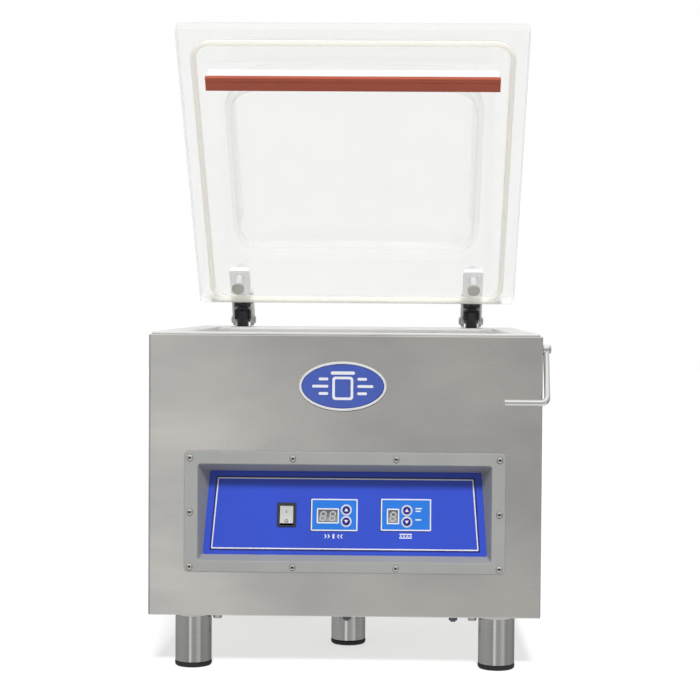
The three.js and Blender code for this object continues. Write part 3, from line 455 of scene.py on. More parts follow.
def plain_mesh(name, shapes):
    """One mesh object from one or more skins, with its faces pointing outwards."""
    bm = bmesh.new()
    for points, faces in shapes:
        made = [bm.verts.new(point) for point in points]
        for face in faces:
            bm.faces.new([made[i] for i in face])
    bmesh.ops.recalc_face_normals(bm, faces=bm.faces)
    mesh = bpy.data.meshes.new(name)
    bm.to_mesh(mesh)
    bm.free()
    obj = bpy.data.objects.new(name, mesh)
    bpy.context.scene.collection.objects.link(obj)
    return obj


def ease_edges(obj, width):
    """Bevels an object's sharp edges; the width is in the object's own units."""
    edges = obj.modifiers.new("edges", "BEVEL")
    edges.width = width
    edges.segments = 2
    edges.limit_method = "ANGLE"
    edges.angle_limit = SHARP


def piece(name, look, shapes, place=MACHINE, body="cabinet", add=(), cut=(), bevel=0.0, node=None):
    """A finished piece: skins joined and cut, edges eased, placed, dressed and riding on a body."""
    obj = plain_mesh(name, shapes)
    tools = []
    for operation, solids in (("UNION", add), ("DIFFERENCE", cut)):
        for solid in solids:
            tool = plain_mesh("tool", [solid])
            modifier = obj.modifiers.new("shape", "BOOLEAN")
            modifier.object = tool
            modifier.operation = operation
            modifier.solver = "EXACT"
            tools.append(tool)
    if bevel > 0:
        ease_edges(obj, bevel)
    if obj.modifiers:
        graph = bpy.context.evaluated_depsgraph_get()
        baked = bpy.data.meshes.new_from_object(obj.evaluated_get(graph))
        obj.modifiers.clear()
        obj.data = baked
    for tool in tools:
        bpy.data.objects.remove(tool)
    obj.data.transform(place)
    obj.data.shade_smooth()
    obj.data.set_sharp_from_angle(angle=SHARP)
    weigh = obj.modifiers.new("normals", "WEIGHTED_NORMAL")
    weigh.keep_sharp = True
    obj.data.materials.clear()
    obj.data.materials.append(MATERIALS[look])
    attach(obj, body)
    if node:
        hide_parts(node)


def keep(node, look, bevel):
    """A CAD node that stays, with eased edges and a material."""
    obj = NODES[node]
    weld = obj.modifiers.new("weld", "WELD")
    weld.merge_threshold = 0.01 * MM
    ease_edges(obj, bevel * MM)
    for slot in obj.material_slots:
        slot.material = MATERIALS[look]


# ---- cabinet ----
SHEET = 1.5
CORNER = 3.0                                # outside radius of the upright corners
BEND = 1.7                                  # outside radius of the folded lips
LIP = 9.0
RECESS_HALF = 182.5
RECESS_Z = (139.7, 259.6)
SCREW_X = (-192.5, -64.2, 64.2, 192.5)
SCREWS = [(x, 267.6) for x in SCREW_X]
SCREWS += [(x, 199.8) for x in (SCREW_X[0], SCREW_X[-1])]
SCREWS += [(x, 131.8) for x in SCREW_X]


def level(x, y, corner, z, inset=0.0, arc=6, side=1):
    """One horizontal rounded-rectangle ring."""
    outline = rounded_rect(widened(x, -inset), widened(y, -inset), max(corner - inset, 0.4), arc, side)
    return ring("z", outline, z)


def build_shell():
    x, y = (SHELL_LOW.x, SHELL_HIGH.x), (SHELL_LOW.y, SHELL_HIGH.y)
    low, high = SHELL_LOW.z, SHELL_HIGH.z
    steps = [(high, LIP)]
    steps += [(high - drop, inset) for inset, drop in reversed(round_over(BEND, 4))]
    steps += [(low + drop, inset) for inset, drop in round_over(BEND, 4)]
    steps += [(low, LIP), (low + SHEET, LIP), (low + SHEET + 0.5, SHEET)]
    steps += [(high - SHEET - 0.5, SHEET), (high - SHEET, LIP)]
    wall = 4
    opening = block(widened((0, 0), RECESS_HALF + wall), (-5, 5), widened(RECESS_Z, wall))
    rear = block(widened(x, -LIP), (y[1] - 5, y[1] + 5), (low + LIP, high - LIP))
    latch = MACHINE.inverted() @ pivot("latch_swing")
    stud_hole = drum("x", 3.4, x[1] - 5, x[1] + 5, (latch.y, latch.z), 24)
    holes = [drum("y", 2.4, -5, 5, (sz, sx), 16) for sx, sz in SCREWS]
    piece("cabinet_shell", "wall_steel", [loft([level(x, y, CORNER, z, inset) for z, inset in steps], True)],
          cut=[opening, rear, stud_hole, *holes], node="body_shell")


CHAMBER = {"x": (-207, 207), "y": (36, 456), "floor": 347, "corner": 30, "wall": 2, "bend": 22}
PORT_Z = 395                                # height of the suction port in the rear wall
LIFT_X = (-150, 150)


def build_deck():
    edge_x, edge_y = (DECK_LOW.x, DECK_HIGH.x), (DECK_LOW.y, DECK_HIGH.y)
    top = DECK_HIGH.z
    under = top - 2.7
    floor, wall, bend = CHAMBER["floor"], CHAMBER["wall"], CHAMBER["bend"]

    def bowl(z, inset):
        return level(CHAMBER["x"], CHAMBER["y"], CHAMBER["corner"], z, inset, 10)

    def plate(z, inset):
        return level(edge_x, edge_y, 5, z, inset, 10)

    rings = [bowl(floor, bend)]
    rings += [bowl(floor + drop, inset) for inset, drop in reversed(round_over(bend, 6))][1:]
    rings += [bowl(top - 4.0 + 4.0 * math.sin(a), -4.0 * (1 - math.cos(a)))
              for a in (0, 0.4, 0.8, 1.2, math.pi / 2)]
    rings += [plate(top - drop, inset) for inset, drop in reversed(round_over(1.4))]
    rings += [plate(under, 0), bowl(under, -4.5), bowl(under - 3, -wall)]
    rings += [bowl(floor + drop - wall, inset - wall) for inset, drop in round_over(bend, 6)]
    slots = [prism("z", rounded_rect((x - 15, x + 15), (478.5, 526), 3), under - 8, top + 5)
             for x in (-HINGE_X, HINGE_X)]
    seal_y = middle_of("seal_bar", MACHINE).y
    tubes = [drum("z", 13, floor - 29, floor - 1, (x, seal_y)) for x in LIFT_X]
    bores = [drum("z", 6.3, floor - 26, floor + 5, (x, seal_y)) for x in LIFT_X]
    back = CHAMBER["y"][1]
    port = drum("y", 12, back + 1, back + 16, (PORT_Z, 0))
    port_bore = drum("y", 9, back - 5, back + 20, (PORT_Z, 0))
    piece("deck_and_chamber", "deck_steel", [loft(rings)], add=[*tubes, port],
          cut=[*slots, *bores, port_bore], node="chamber_deck")


LOUVRES = {"columns": [(20, 90), (110, 180)], "rows": 9, "first": 150, "pitch": 16}


def louvre_hood(x, z, face):
    """A pressed hood over one slot: full in the middle, sinking into the panel at its ends."""
    section = [(-0.3, 8.0), (1.6, 7.2), (2.6, 5.2), (2.8, 1.0),
               (2.1, 1.0), (1.9, 4.8), (1.1, 6.4), (-0.3, 7.0)]
    centre = 4
    rings = []
    steps = 12
    for i in range(steps + 1):
        t = i / steps
        rise = min(1.0, 0.12 + math.sin(math.pi * t) ** 0.5)
        at_x = x[0] - 2 + (x[1] - x[0] + 4) * t
        rings.append([Vector((at_x, face + out * rise, z + centre + (up - centre) * (0.6 + 0.4 * rise)))
                      for out, up in section])
    return loft(rings)


def build_rear():
    keep("rear_panel", "wall_steel", 0.4)
    face = local_box("rear_panel", MACHINE)[1].y
    hoods = [louvre_hood(x, LOUVRES["first"] + row * LOUVRES["pitch"], face)
             for x in LOUVRES["columns"] for row in range(LOUVRES["rows"])]
    piece("rear_louvres", "wall_steel", hoods)
    head = [(4.0, face), (4.0, face + 1.0), (3.2, face + 2.0), (1.4, face + 2.4)]
    heads = [lathe("y", head, (z, x), 24) for x in (-232, -80, 80, 232) for z in (84, 410)]
    piece("rear_panel_screws", "bright_steel", heads)
    keep("power_inlet", "black_plastic", 0.5)


LEG_R = 23.0
LEG_BOLTS = [(31, -4), (33, 30), (-12, 30)]  # towards the middle and inwards from the leg's axis


def build_leg(name):
    low, high = local_box(f"leg_{name}", MACHINE)
    foot_low, foot_high = local_box(f"foot_{name}", MACHINE)
    x, y = (foot_low.x + foot_high.x) / 2, (foot_low.y + foot_high.y) / 2
    inward = -1 if x > 1 else 1
    deeper = -1 if y > (SHELL_LOW.y + SHELL_HIGH.y) / 2 else 1
    under = high.z - 2.5                    # underside of the leg's plate
    tube = [(LEG_R - 0.5, low.z), (LEG_R, low.z + 0.5), (LEG_R, under - 3), (LEG_R + 0.7, under - 1.4),
            (LEG_R + 2.2, under + 0.5), (LEG_R - 2, under + 0.5), (LEG_R - 2, low.z)]
    plate = prism("z", rounded_rect((low.x, high.x), (low.y, high.y), 6), under, high.z)
    bolts = []
    for across, deep in LEG_BOLTS:
        centre = (x + inward * across, y + deeper * deep)
        bolts.append(drum("z", 6.0, under + 0.2, under - 1.2, centre, 28))
        bolts.append(lathe("z", [(5.6, under - 1.0), (5.6, under - 6.4), (4.8, under - 7.0)], centre, 6))
    piece(f"leg_tube_{name}", "tube_steel", [lathe("z", tube, (x, y), 64, True)], node=f"leg_{name}")
    piece(f"leg_plate_{name}", "wall_steel", [plate], bevel=0.5)
    piece(f"leg_bolts_{name}", "bolt_steel", bolts)
    rim = foot_high.x - x
    step = low.z - 0.3
    foot = [(rim - 4, 0.0), (rim - 1.8, 0.1), (rim - 0.3, 1.8), (rim, 2.6), (rim, step - 0.5),
            (rim - 0.5, step), (LEG_R - 2.6, step), (LEG_R - 2.6, foot_high.z)]
    piece(f"foot_ring_{name}", "rubber", [lathe("z", foot, (x, y), 64)], node=f"foot_{name}")


INSIDE = {"base_pan": ("wall_steel", 0.3), "vacuum_pump": ("casting", 1.2), "pump_motor": ("casting", 1.0),
          "seal_transformer": ("varnish", 0.8), "suction_hose": ("black_plastic", 0.5),
          "control_board": ("board", 0.2), "hinge_post_left": ("deck_steel", 0.4),
          "hinge_post_right": ("deck_steel", 0.4)}


def build_seal_bar():
    low, high = local_box("seal_bar", MACHINE)
    middle, half = (low.y + high.y) / 2, (high.y - low.y) / 2
    under = 374.0
    skirt = 388.0                           # where the tape ends on the bar's sides
    top = high.z - 0.6
    body = prism("x", rounded_rect((low.y, high.y), (under, top), 3), low.x, high.x)
    posts = [lathe("z", [(5.4, low.z), (6, low.z + 0.6), (6, under + 1)], (x, middle)) for x in LIFT_X]
    grooves = [block((-400, 400), (y, y + 3), (382, 386)) for y in (low.y - 2, high.y - 1)]
    piece("seal_bar_body", "aluminium", [body], body="seal_bar", add=posts, cut=grooves, bevel=0.3,
          node="seal_bar")
    tape = [(1.6, top + 0.2), (3, high.z), (4.4, top + 0.2), (half - 2.4, top + 0.2),
            (half + 0.25, top - 2.6), (half + 0.25, skirt), (half, skirt), (half, top - 2.8),
            (half - 2.6, top)]
    piece("seal_bar_tape", "tape", [prism("x", mirrored(tape, middle), -194, 194)], body="seal_bar")


# ---- badge ----
def build_badge():
    low, high = local_box("badge_plate", MACHINE)
    cz, cx = (low.z + high.z) / 2, (low.x + high.x) / 2
    half_z, half_x = (high.z - low.z) / 2, (high.x - low.x) / 2
    face, back = low.y, high.y

    def ovals(*steps):
        return [ring("y", ellipse((cz, cx), half_z - inset, half_x - inset), y) for inset, y in steps]

    rim = ovals((0, back), (0, face + 0.9), (0.35, face + 0.3), (1.0, face), (2.4, face), (3.0, face + 0.3),
                (3.2, face + 0.9), (3.2, back))
    piece("badge_rim", "rim_silver", [loft(rim, True)], node="badge_plate")
    # A black oval set 0.9 mm lower peeks out under the rim: a painted shadow of the badge on the steel.
    painted_shadow = prism("y", ellipse((cz - 0.9, cx), half_z - 0.2, half_x - 0.2), back - 0.5, back + 0.2)
    piece("badge_painted_shadow", "black_plastic", [painted_shadow])
    # The groove between rim and field is dark navy: painted shade in the gap.
    groove = ovals((3.15, back - 0.1), (3.15, face + 1.0), (3.9, face + 1.0), (3.9, back - 0.1))
    piece("badge_groove_shade", "print_navy", [loft(groove, True)])
    field = ovals((3.85, back), (3.85, face + 0.75), (4.4, face + 0.6), (14, face + 0.35), (26, face + 0.3))
    piece("badge_field", "badge_blue", [loft(field)])

    # A plain pictogram: a sealed pouch between two groups of speed lines.
    top, under = face + 0.12, face + 0.5
    pouch = frame_band("y", rounded_rect((cz - 17, cz + 12), (cx - 13, cx + 13), 4),
                       rounded_rect((cz - 13.8, cz + 8.8), (cx - 9.8, cx + 9.8), 2), under, top)
    seam = prism("y", rounded_rect((cz + 14.5, cz + 18.5), (cx - 15, cx + 15), 1.9), under, top)
    marks = [pouch, seam]
    for way in (-1, 1):
        for up, reach in ((9, 30), (0, 38), (-9, 30)):
            ends = sorted((cx + way * 18.0, cx + way * reach))
            line = rounded_rect((cz + up - 1.7, cz + up + 1.7), ends, 1.6)
            marks.append(prism("y", line, under, top))
    piece("badge_mark", "print_white", marks)


# ---- control panel; outlines are (z, x) ----
FLANGE_HALF = 200.0
FLANGE_Z = (124.8, 276.3)
FLANGE_CORNER = 6.0
FLANGE_FACE = -3.5
FLANGE_BACK = -0.3
TRAY_Z = (145.2, 247.8)                     # where the tray meets the tilted panel
TRAY_HALF = (177.8, 171.0)
TRAY_Y = (14.0, 34.0)


def build_bezel():
    def loop(z, half, grow, y, corner):
        """A rounded loop with its own half widths below and above; y may change with height."""
        low, high = widened(z, grow)
        under, over = half[0] + grow, half[1] + grow
        outline = rounded_polygon([(low, -under), (low, under), (high, over), (high, -over)], corner, 5)
        slope = (y[1] - y[0]) / (z[1] - z[0])
        return [at("y", p[0], p[1], y[0] + (p[0] - z[0]) * slope) for p in outline]

    def flange(grow, y):
        return loop(FLANGE_Z, (FLANGE_HALF, FLANGE_HALF), grow, (y, y), FLANGE_CORNER)

    def mouth(grow, y):
        return loop(RECESS_Z, (RECESS_HALF, RECESS_HALF), grow, (y, y), 4.0)

    face, back = FLANGE_FACE, FLANGE_BACK
    lip = 1.6
    rings = [flange(0, back)]
    rings += [flange(-inset, face + drop) for inset, drop in round_over(1.4)]
    rings += [mouth(lip * (1 - math.sin(a)), face + lip * (1 - math.cos(a)))
              for a in (0, 0.4, 0.8, 1.2, math.pi / 2)]
    rings += [loop(TRAY_Z, TRAY_HALF, grow, TRAY_Y, 2.0) for grow in (0.4, 2.0)]
    rings += [mouth(2.0, back + 0.6), mouth(2.6, back)]
    holes = [drum("y", 2.4, -6, 2, (z, x), 20) for x, z in SCREWS]
    piece("control_surround", "grey_plastic", [loft(rings, True)], cut=holes, node="control_bezel")


def build_screw(number, x, z):
    node = f"bezel_screw_{number:02d}"
    low, high = local_box(node, MACHINE)
    face = FLANGE_FACE - 0.3
    head = [(1.9, high.y), (1.9, face), (3.9, face), (3.9, face - 0.6), (3.5, face - 1.4), (2.7, face - 2.0),
            (1.6, low.y)]
    cuts = [drum("y", 1.75, low.y - 1, low.y + 1.0, (z, x), 6)]
    cross_turn = 0.5 + 1.3 * number         # every screw stopped at its own angle
    for angle in (cross_turn, cross_turn + math.pi / 2):
        along = Vector((math.cos(angle), math.sin(angle))) * 2.3
        side = along.orthogonal().normalized() * 0.5
        corners = [along + side, side - along, -along - side, along - side]
        cuts.append(prism("y", [(z + c.x, x + c.y) for c in corners], low.y - 1, low.y + 1.2))
    piece(f"{node}_head", "screw_steel", [lathe("y", head, (z, x), 32)], cut=cuts, node=node)
    # A black hex deep in the socket is painted shade in the recess.
    socket = drum("y", 1.75, low.y + 0.5, low.y + 1.9, (z, x), 6)
    piece(f"{node}_socket", "spring_black", [socket])


WINDOWS = {"vacuum": (-21.6, 12.3, 7.8), "seal": (60.4, 6.15, 8.0)}      # middle x, half width, half height
WINDOW_Z = -3.4
CARDS = [((-22.3, 17.9), (-42.9, 15.8)), ((-21.4, 18.7), (45.1, 108.3))]
LINE = 1.5                                  # width of the printed white lines
INK_BACK = FILM_FRONT + 0.05                # ink starts just inside the film
BUTTONS = ["vacuum_up_button", "vacuum_down_button", "seal_up_button", "seal_down_button"]
RIM_DROP = 1.8                              # the switch rim's upper edge under its housing's


def window(name, grow_z, grow_x):
    x, half_x, half_z = WINDOWS[name]
    return widened((WINDOW_Z, WINDOW_Z), half_z + grow_z), widened((x, x), half_x + grow_x)


def window_cut(name, grow):
    z, x = window(name, grow, grow)
    return block(x, (-5, 5), z)


def ink(outline, proud):
    return prism("y", outline, INK_BACK, FILM_FRONT - proud)


def ink_frame(z, x, width, corner, proud):
    inner = rounded_rect(widened(z, -width), widened(x, -width), max(0.3, corner - width))
    return frame_band("y", rounded_rect(z, x, corner), inner, INK_BACK, FILM_FRONT - proud)


def ink_border(grow, width, proud):
    """The printed line that follows the panel's edge."""
    def corners(more):
        low, high = widened((-45.6, 44.0), more)
        low_half, high_half = 167.9 + more, 161.5 + more
        return [(low, -low_half), (high, -high_half), (high, high_half), (low, low_half)]

    outer, inner = rounded_polygon(corners(grow), 1.5), rounded_polygon(corners(grow - width), 0.5)
    return frame_band("y", outer, inner, INK_BACK, FILM_FRONT - proud)


def build_film():
    low, high = local_box("control_panel", PANEL)
    slope = (TRAY_HALF[0] - TRAY_HALF[1]) / (high.z - low.z - 3)
    top_half = high.x - slope * (high.z - low.z)
    corners = [(low.z, -high.x), (high.z, -top_half), (high.z, top_half), (low.z, high.x)]
    centres = [middle_of(button, PANEL) for button in BUTTONS]
    holes = [drum("y", 6.5, -5, 5, (centre.z, centre.x)) for centre in centres]
    rim_low, rim_high = local_box("switch_housing", PANEL)
    switch = block((rim_low.x + 1.6, rim_high.x - 2.2), (-5, 5),
                   (rim_low.z + 1.6, rim_high.z - 1.6 - RIM_DROP))
    piece("panel_film", "blue_film", [prism("y", corners, low.y, high.y)], PANEL,
          cut=[*[window_cut(name, 0.8) for name in WINDOWS], *holes, switch], node="control_panel")
    shadows = [ink_border(2.1, 2.2, 0.05)]
    shadows += [ink_frame((z[0] - 1.2, z[1] - 0.4), (x[0] - 1.2, x[1] - 0.4), 1.6, 1.0, 0.05)
                for z, x in CARDS]
    piece("panel_print_navy", "print_navy", shadows, PANEL)
    lines = [ink_border(0, LINE, 0.12)]
    lines += [ink_frame(z, x, LINE, 1.4, 0.14) for z, x in CARDS]
    lines += [ink_frame(*window(name, 1.7, 1.6), 1.6, 1.0, 0.2) for name in WINDOWS]
    circle = [(6.5, INK_BACK), (6.5, FILM_FRONT - 0.2), (7.0, FILM_FRONT - 0.2), (7.0, INK_BACK)]
    lines += [lathe("y", circle, (centre.z, centre.x), 48, True) for centre in centres]
    piece("panel_print_lines", "print_white", lines, PANEL)
    cards = [ink(rounded_rect(widened(z, -0.5), widened(x, -0.5), 1.0), 0.07) for z, x in CARDS]
    piece("panel_print_cards", "sky_film", cards, PANEL,
          cut=[*[window_cut(name, 0.6) for name in WINDOWS], *holes])


def build_pictograms():
    """Wordless marks in the places where labels go: suction, sealing, and lines beside the buttons."""
    marks = []
    z, reach = -29.0, 2.4
    for x, way in ((-26.0, 1), (-22.0, 1), (-2.6, -1), (-6.6, -1)):      # chevrons towards a middle bar
        back, front, nose, notch = x, x + way * 1.5, x + way * 3.3, x + way * 1.8
        marks.append([(z + reach, back), (z + reach, front), (z, nose), (z - reach, front), (z - reach, back),
                      (z, notch)])
    marks.append([(z - 2.8, -15.4), (z - 2.8, -13.2), (z + 2.8, -13.2), (z + 2.8, -15.4)])
    z = -28.0
    marks += [rounded_rect((start, start + LINE - 0.1), (68.5, 84.5), 0.6, 3) for start in (z + 1.6, z - 3.0)]
    marks += [rounded_rect((z - 0.7, z + 0.7), (69.2 + 4.1 * i, 71.6 + 4.1 * i), 0.6, 3) for i in range(4)]
    for end, start in ((96.8, 6.0), (95.2, 2.6), (96.0, -8.2)):
        marks.append(rounded_rect((start, start + LINE), (88.6, end), 0.5, 3))
    piece("panel_print_marks", "print_white", [ink(mark, 0.12) for mark in marks], PANEL)


def digit(cx, cz):
    """The seven unlit segments of one figure, as slanted six-sided bars."""
    wide, high, stroke, slant = 8.0, 12.6, 1.9, 0.14
    w, h = (wide - stroke) / 2, (high - stroke) / 2
    ends = [((-w, z), (w, z)) for z in (-h, 0, h)]
    ends += [((x, z), (x, z + h)) for x in (-w, w) for z in (-h, 0)]
    outlines = []
    for start, end in ends:
        a, b = Vector(start), Vector(end)
        along = (b - a).normalized()
        side = Vector((-along.y, along.x)) * stroke / 2
        nose = along * stroke / 2
        a += along * 0.25
        b -= along * 0.25
        outline = [a, a + nose - side, b - nose - side, b, b - nose + side, a + nose + side]
        outlines.append([(cz + p.y, cx + p.x + p.y * slant) for p in outline])
    return outlines


def build_displays():
    glass, edges, figures = [], [], []
    for name, centres in (("vacuum", (-6.1, 5.7)), ("seal", (0,))):
        z, x = window(name, 0.5, 0.5)
        glass.append(block(x, (0.55, 0.72), z))
        # A dark ring round each window is painted shade along the window's edges.
        edges.append(ink_frame(z, x, 1.2, 0.3, -0.15))
        for offset in centres:
            figures += digit(WINDOWS[name][0] + offset, WINDOW_Z - 0.3)
    piece("display_glass", "display_glass", glass, PANEL)
    piece("display_shade_edges", "display_edge", edges, PANEL)
    piece("display_segments", "segment", [prism("y", outline, 0.56, 0.5) for outline in figures], PANEL)


def build_button(node):
    low, high = local_box(node, PANEL)
    centre = middle_of(node, PANEL)
    spot = (centre.z, centre.x)
    face = low.y
    radius = (high.x - low.x) / 2
    cap = [(radius, high.y), (radius, face + 0.9), (radius - 0.3, face + 0.5), (radius - 1.0, face + 0.35),
           (5.0, face + 0.35)]
    piece(f"{node}_collar", "print_white", [lathe("y", cap, spot, 48)], PANEL, node, node=node)
    dome = [(5.05, face + 0.5), (5.05, face + 0.3), (4.4, face + 0.12), (2.4, face + 0.04),
            (0.6, face + 0.02)]
    piece(f"{node}_cap", "navy", [lathe("y", dome, spot, 48)], PANEL, node)
    way = 1 if "_up_" in node else -1
    corners = [(-way * 1.7, -2.5), (-way * 1.7, 2.5), (way * 2.3, 0)]
    outline = [(centre.z + z, centre.x + x) for z, x in rounded_polygon(corners, 0.5, 3)]
    piece(f"{node}_arrow", "print_white", [prism("y", outline, face + 0.2, face)], PANEL, node)


ROCKER_HALF = 11.2
ROCKER_SHIFT = Vector((0.3, 0, 1.6))        # the rocker sits this much left of and under its pivot


def build_switch():
    low, high = local_box("switch_housing", PANEL)
    rim_z, rim_x = (low.z, high.z - RIM_DROP), (low.x, high.x - 0.6)
    mouth_z, mouth_x = (rim_z[0] + 2.2, rim_z[1] - 3.4), widened(rim_x, -3.5)

    def loops(z, x, corner, steps):
        return [ring("y", rounded_rect(widened(z, -inset), widened(x, -inset), corner), y)
                for inset, y in steps]

    rings = loops(rim_z, rim_x, 1.6, [(0, 0), (0, low.y + 0.8), (0.25, low.y + 0.25), (0.9, low.y)])
    rings += loops(mouth_z, mouth_x, 1.2, [(-0.3, low.y + 0.15), (0, low.y + 0.6), (0, 12)])
    rings += loops(rim_z, rim_x, 1.2, [(1.9, 12), (1.9, 0)])
    piece("switch_surround", "black_plastic", [loft(rings, True)], PANEL, node="switch_housing")

    hinge = PANEL.inverted() @ pivot("rocker_tilt")
    tilt = math.radians(JOINTS["rocker_tilt"]["range_deg"][1]) / 2
    lever = PANEL @ Matrix.Translation(hinge - ROCKER_SHIFT) @ Matrix.Rotation(-tilt, 4, "X")
    crest = -1.2 - hinge.y

    def on_face(v, out=0.0):
        """Depth of the rocker's face at the height v, or of a mark that is sunk by out."""
        share = abs(v) / ROCKER_HALF
        return crest - 2.0 * share + 0.35 * math.sin(math.pi * share) + out

    heights = [ROCKER_HALF * i / 6 for i in range(7)]
    outline = [(on_face(v), v) for v in heights] + [(2.5, 8.5), (2.5, -8.5)]
    outline += [(on_face(v), -v) for v in reversed(heights[1:])]
    piece("switch_rocker", "rocker", [prism("x", outline, -8.4, 8.4)], lever, "power_rocker", bevel=0.5,
          node="power_rocker")
    low_end, high_end = 2.2, 5.6
    bar = [(low_end, 0.1), (high_end, 0.1), (high_end, -0.12), (low_end, -0.12)]
    marks = [prism("x", [(on_face(v, out), v) for v, out in bar], -0.45, 0.45)]
    loops_of_o = []
    for radius, out in ((2.2, 0.1), (2.2, -0.12), (1.45, -0.12), (1.45, 0.1)):
        spots = [(radius * math.cos(a), radius * math.sin(a) - 7.9) for a in around(32)]
        loops_of_o.append([Vector((u, on_face(v, out), v)) for u, v in spots])
    marks.append(loft(loops_of_o, True))
    piece("switch_marks", "black_plastic", marks, lever, "power_rocker")


# ---- lid ----
DOME = {"half_x": 174.5, "back": 124, "front": 413, "corner": 40}
DOME_WALL = 7
SEAL = {"half_x": 218.5, "back": 46.2, "front": 490.6, "corner": 25}
CORD_R = 4.0
GROOVE = 4.4                                # half width of the cord's groove
GROOVE_DEEP = 4.2
PLATE_THICK = 20.0
RIM_ARC = 10
RIM_SIDE = 14


def lid_ring(shape, h, inset=0.0):
    """A rounded rectangle in the lid, at height h over its inner face."""
    return level((-shape["half_x"], shape["half_x"]), (-shape["front"], -shape["back"]), shape["corner"],
                 h + INNER_FACE, inset, RIM_ARC, RIM_SIDE)


def dome_rings(grow, base_h, crown_h, steps=18):
    """From the dome's wall to its crown: box-like walls that ease into a soft pillow."""
    half_x, half_y = DOME["half_x"] + grow, (DOME["front"] - DOME["back"]) / 2 + grow
    middle = Vector((0, -(DOME["back"] + DOME["front"]) / 2, 0))
    rings = []
    for i in range(steps + 1):
        theta = (1 - i / steps * 0.985) * math.pi / 2
        scale = math.sin(theta) ** 0.42
        rise = max(math.cos(theta), 0.0) ** 0.56
        soften = (1 - scale) ** 0.8
        points = []
        for point in lid_ring(DOME, 0, -grow):
            flat = Vector((point.x, point.y, 0)) - middle
            angle = math.atan2(flat.y / half_y, flat.x / half_x)
            oval = Vector((half_x * math.cos(angle), half_y * math.sin(angle), 0))
            spot = middle + flat.lerp(oval, soften) * scale
            points.append(Vector((spot.x, spot.y, base_h + (crown_h - base_h) * rise + INNER_FACE)))
        rings.append(points)
    return rings


def build_lid():
    plate = {"half_x": LID_HIGH.x, "back": -LID_HIGH.y, "front": -LID_LOW.y, "corner": 6.0}
    crown = LID_HIGH.z - INNER_FACE
    top, wide, deep = PLATE_THICK, GROOVE, GROOVE_DEEP

    def stack(shape, *steps):
        return [lid_ring(shape, h, inset) for h, inset in steps]

    rings = dome_rings(DOME_WALL, top + 4, crown)[::-1]
    rings += stack(DOME, (top + 1.2, -DOME_WALL - 1.2), (top, -DOME_WALL - 4.0))
    rings += stack(plate, (top, 1.9), (top - 0.3, 1.3), (top - 1.3, 0.3), (top - 1.9, 0), (1.2, 0),
                   (0.35, 0.35), (0, 1.2))
    rings += stack(SEAL, (0, -wide - 0.3), (0.3, -wide), (deep - 1.2, -wide), (deep, -wide + 1.2),
                   (deep, wide - 1.2), (deep - 1.2, wide), (0.3, wide), (0, wide + 0.3))
    rings += stack(DOME, (0, -3.0), (0.9, -0.9), (3.0, 0))
    rings += dome_rings(0, 4.0, crown - DOME_WALL)
    holes = [drum("z", 3.6, -20, 40, middle_of(f"clamp_screw_{side}", LID), 32) for side in SIDES]
    piece("lid_dome_pane", "clear", [loft(rings)], LID, "lid", cut=holes, node="lid_pane")
    # The saw-cut rear edge is frosted and hides what is behind it; its white is partly painted light,
    # standing in for what the acrylic reflects inside its edge.
    half, rear = LID_HIGH.x - 1.5, LID_HIGH.y
    frost = rounded_rect((INNER_FACE + 1.2, INNER_FACE + top - 1.2), (-half, half), 0.8, 3)
    piece("lid_rear_frosting", "frost", [prism("y", frost, rear - 0.6, rear - 0.15)], LID, "lid")


def build_gasket():
    """A round cord in its groove, cut on the slant and butted near the right hinge."""
    sides = 24
    outline = rounded_rect((-SEAL["half_x"], SEAL["half_x"]), (-SEAL["front"], -SEAL["back"]),
                           SEAL["corner"], 14, 30)
    path = [Vector((p.x, p.y, INNER_FACE - 0.2)) for p in outline]
    near_hinge = Vector((150, -SEAL["back"], INNER_FACE))
    splice = min(range(len(path)), key=lambda i: (path[i] - near_hinge).length)
    path = path[splice:] + path[:splice]
    path.append(path[0] + (path[-1] - path[0]).normalized() * 0.6)
    points, faces = sweep(path, CORD_R, sides)
    for end, part in ((path[0], points[:sides]), (path[-1], points[-sides:])):
        for point in part:
            point.x -= (point.y - end.y) * 1.1
    piece("lid_seal_cord", "cord", [(points, faces)], LID, "lid", node="lid_gasket")


def build_bar():
    low, high = local_box("counter_bar", LID)
    section = [(low.y + 0.4, high.z), (high.y, high.z), (high.y, low.z + 3), (high.y - 0.6, low.z + 0.4),
               (low.y + 4, low.z), (low.y, low.z), (low.y, high.z - 0.4)]
    grooves = [block((x - 8, x + 8), (high.y - 1.5, high.y + 5), (high.z - 6, high.z + 5))
               for x in (-150, 0, 150)]
    piece("counter_bar_holder", "white", [prism("x", section, low.x, high.x)], LID, "lid", cut=grooves,
          bevel=0.5, node="counter_bar")
    low, high = local_box("silicone_pad", LID)
    pad = rounded_rect((low.y, high.y), (low.z, high.z), 1.0, 3)
    slit = block((low.x - 5, high.x + 5), (low.y + 6.5, low.y + 7.1), (low.z - 2, low.z + 0.5))
    piece("counter_bar_pad", "silicone", [prism("x", pad, low.x, high.x)], LID, "lid", cut=[slit], bevel=0.3,
          node="silicone_pad")


CLAMP_BORE = 3.6


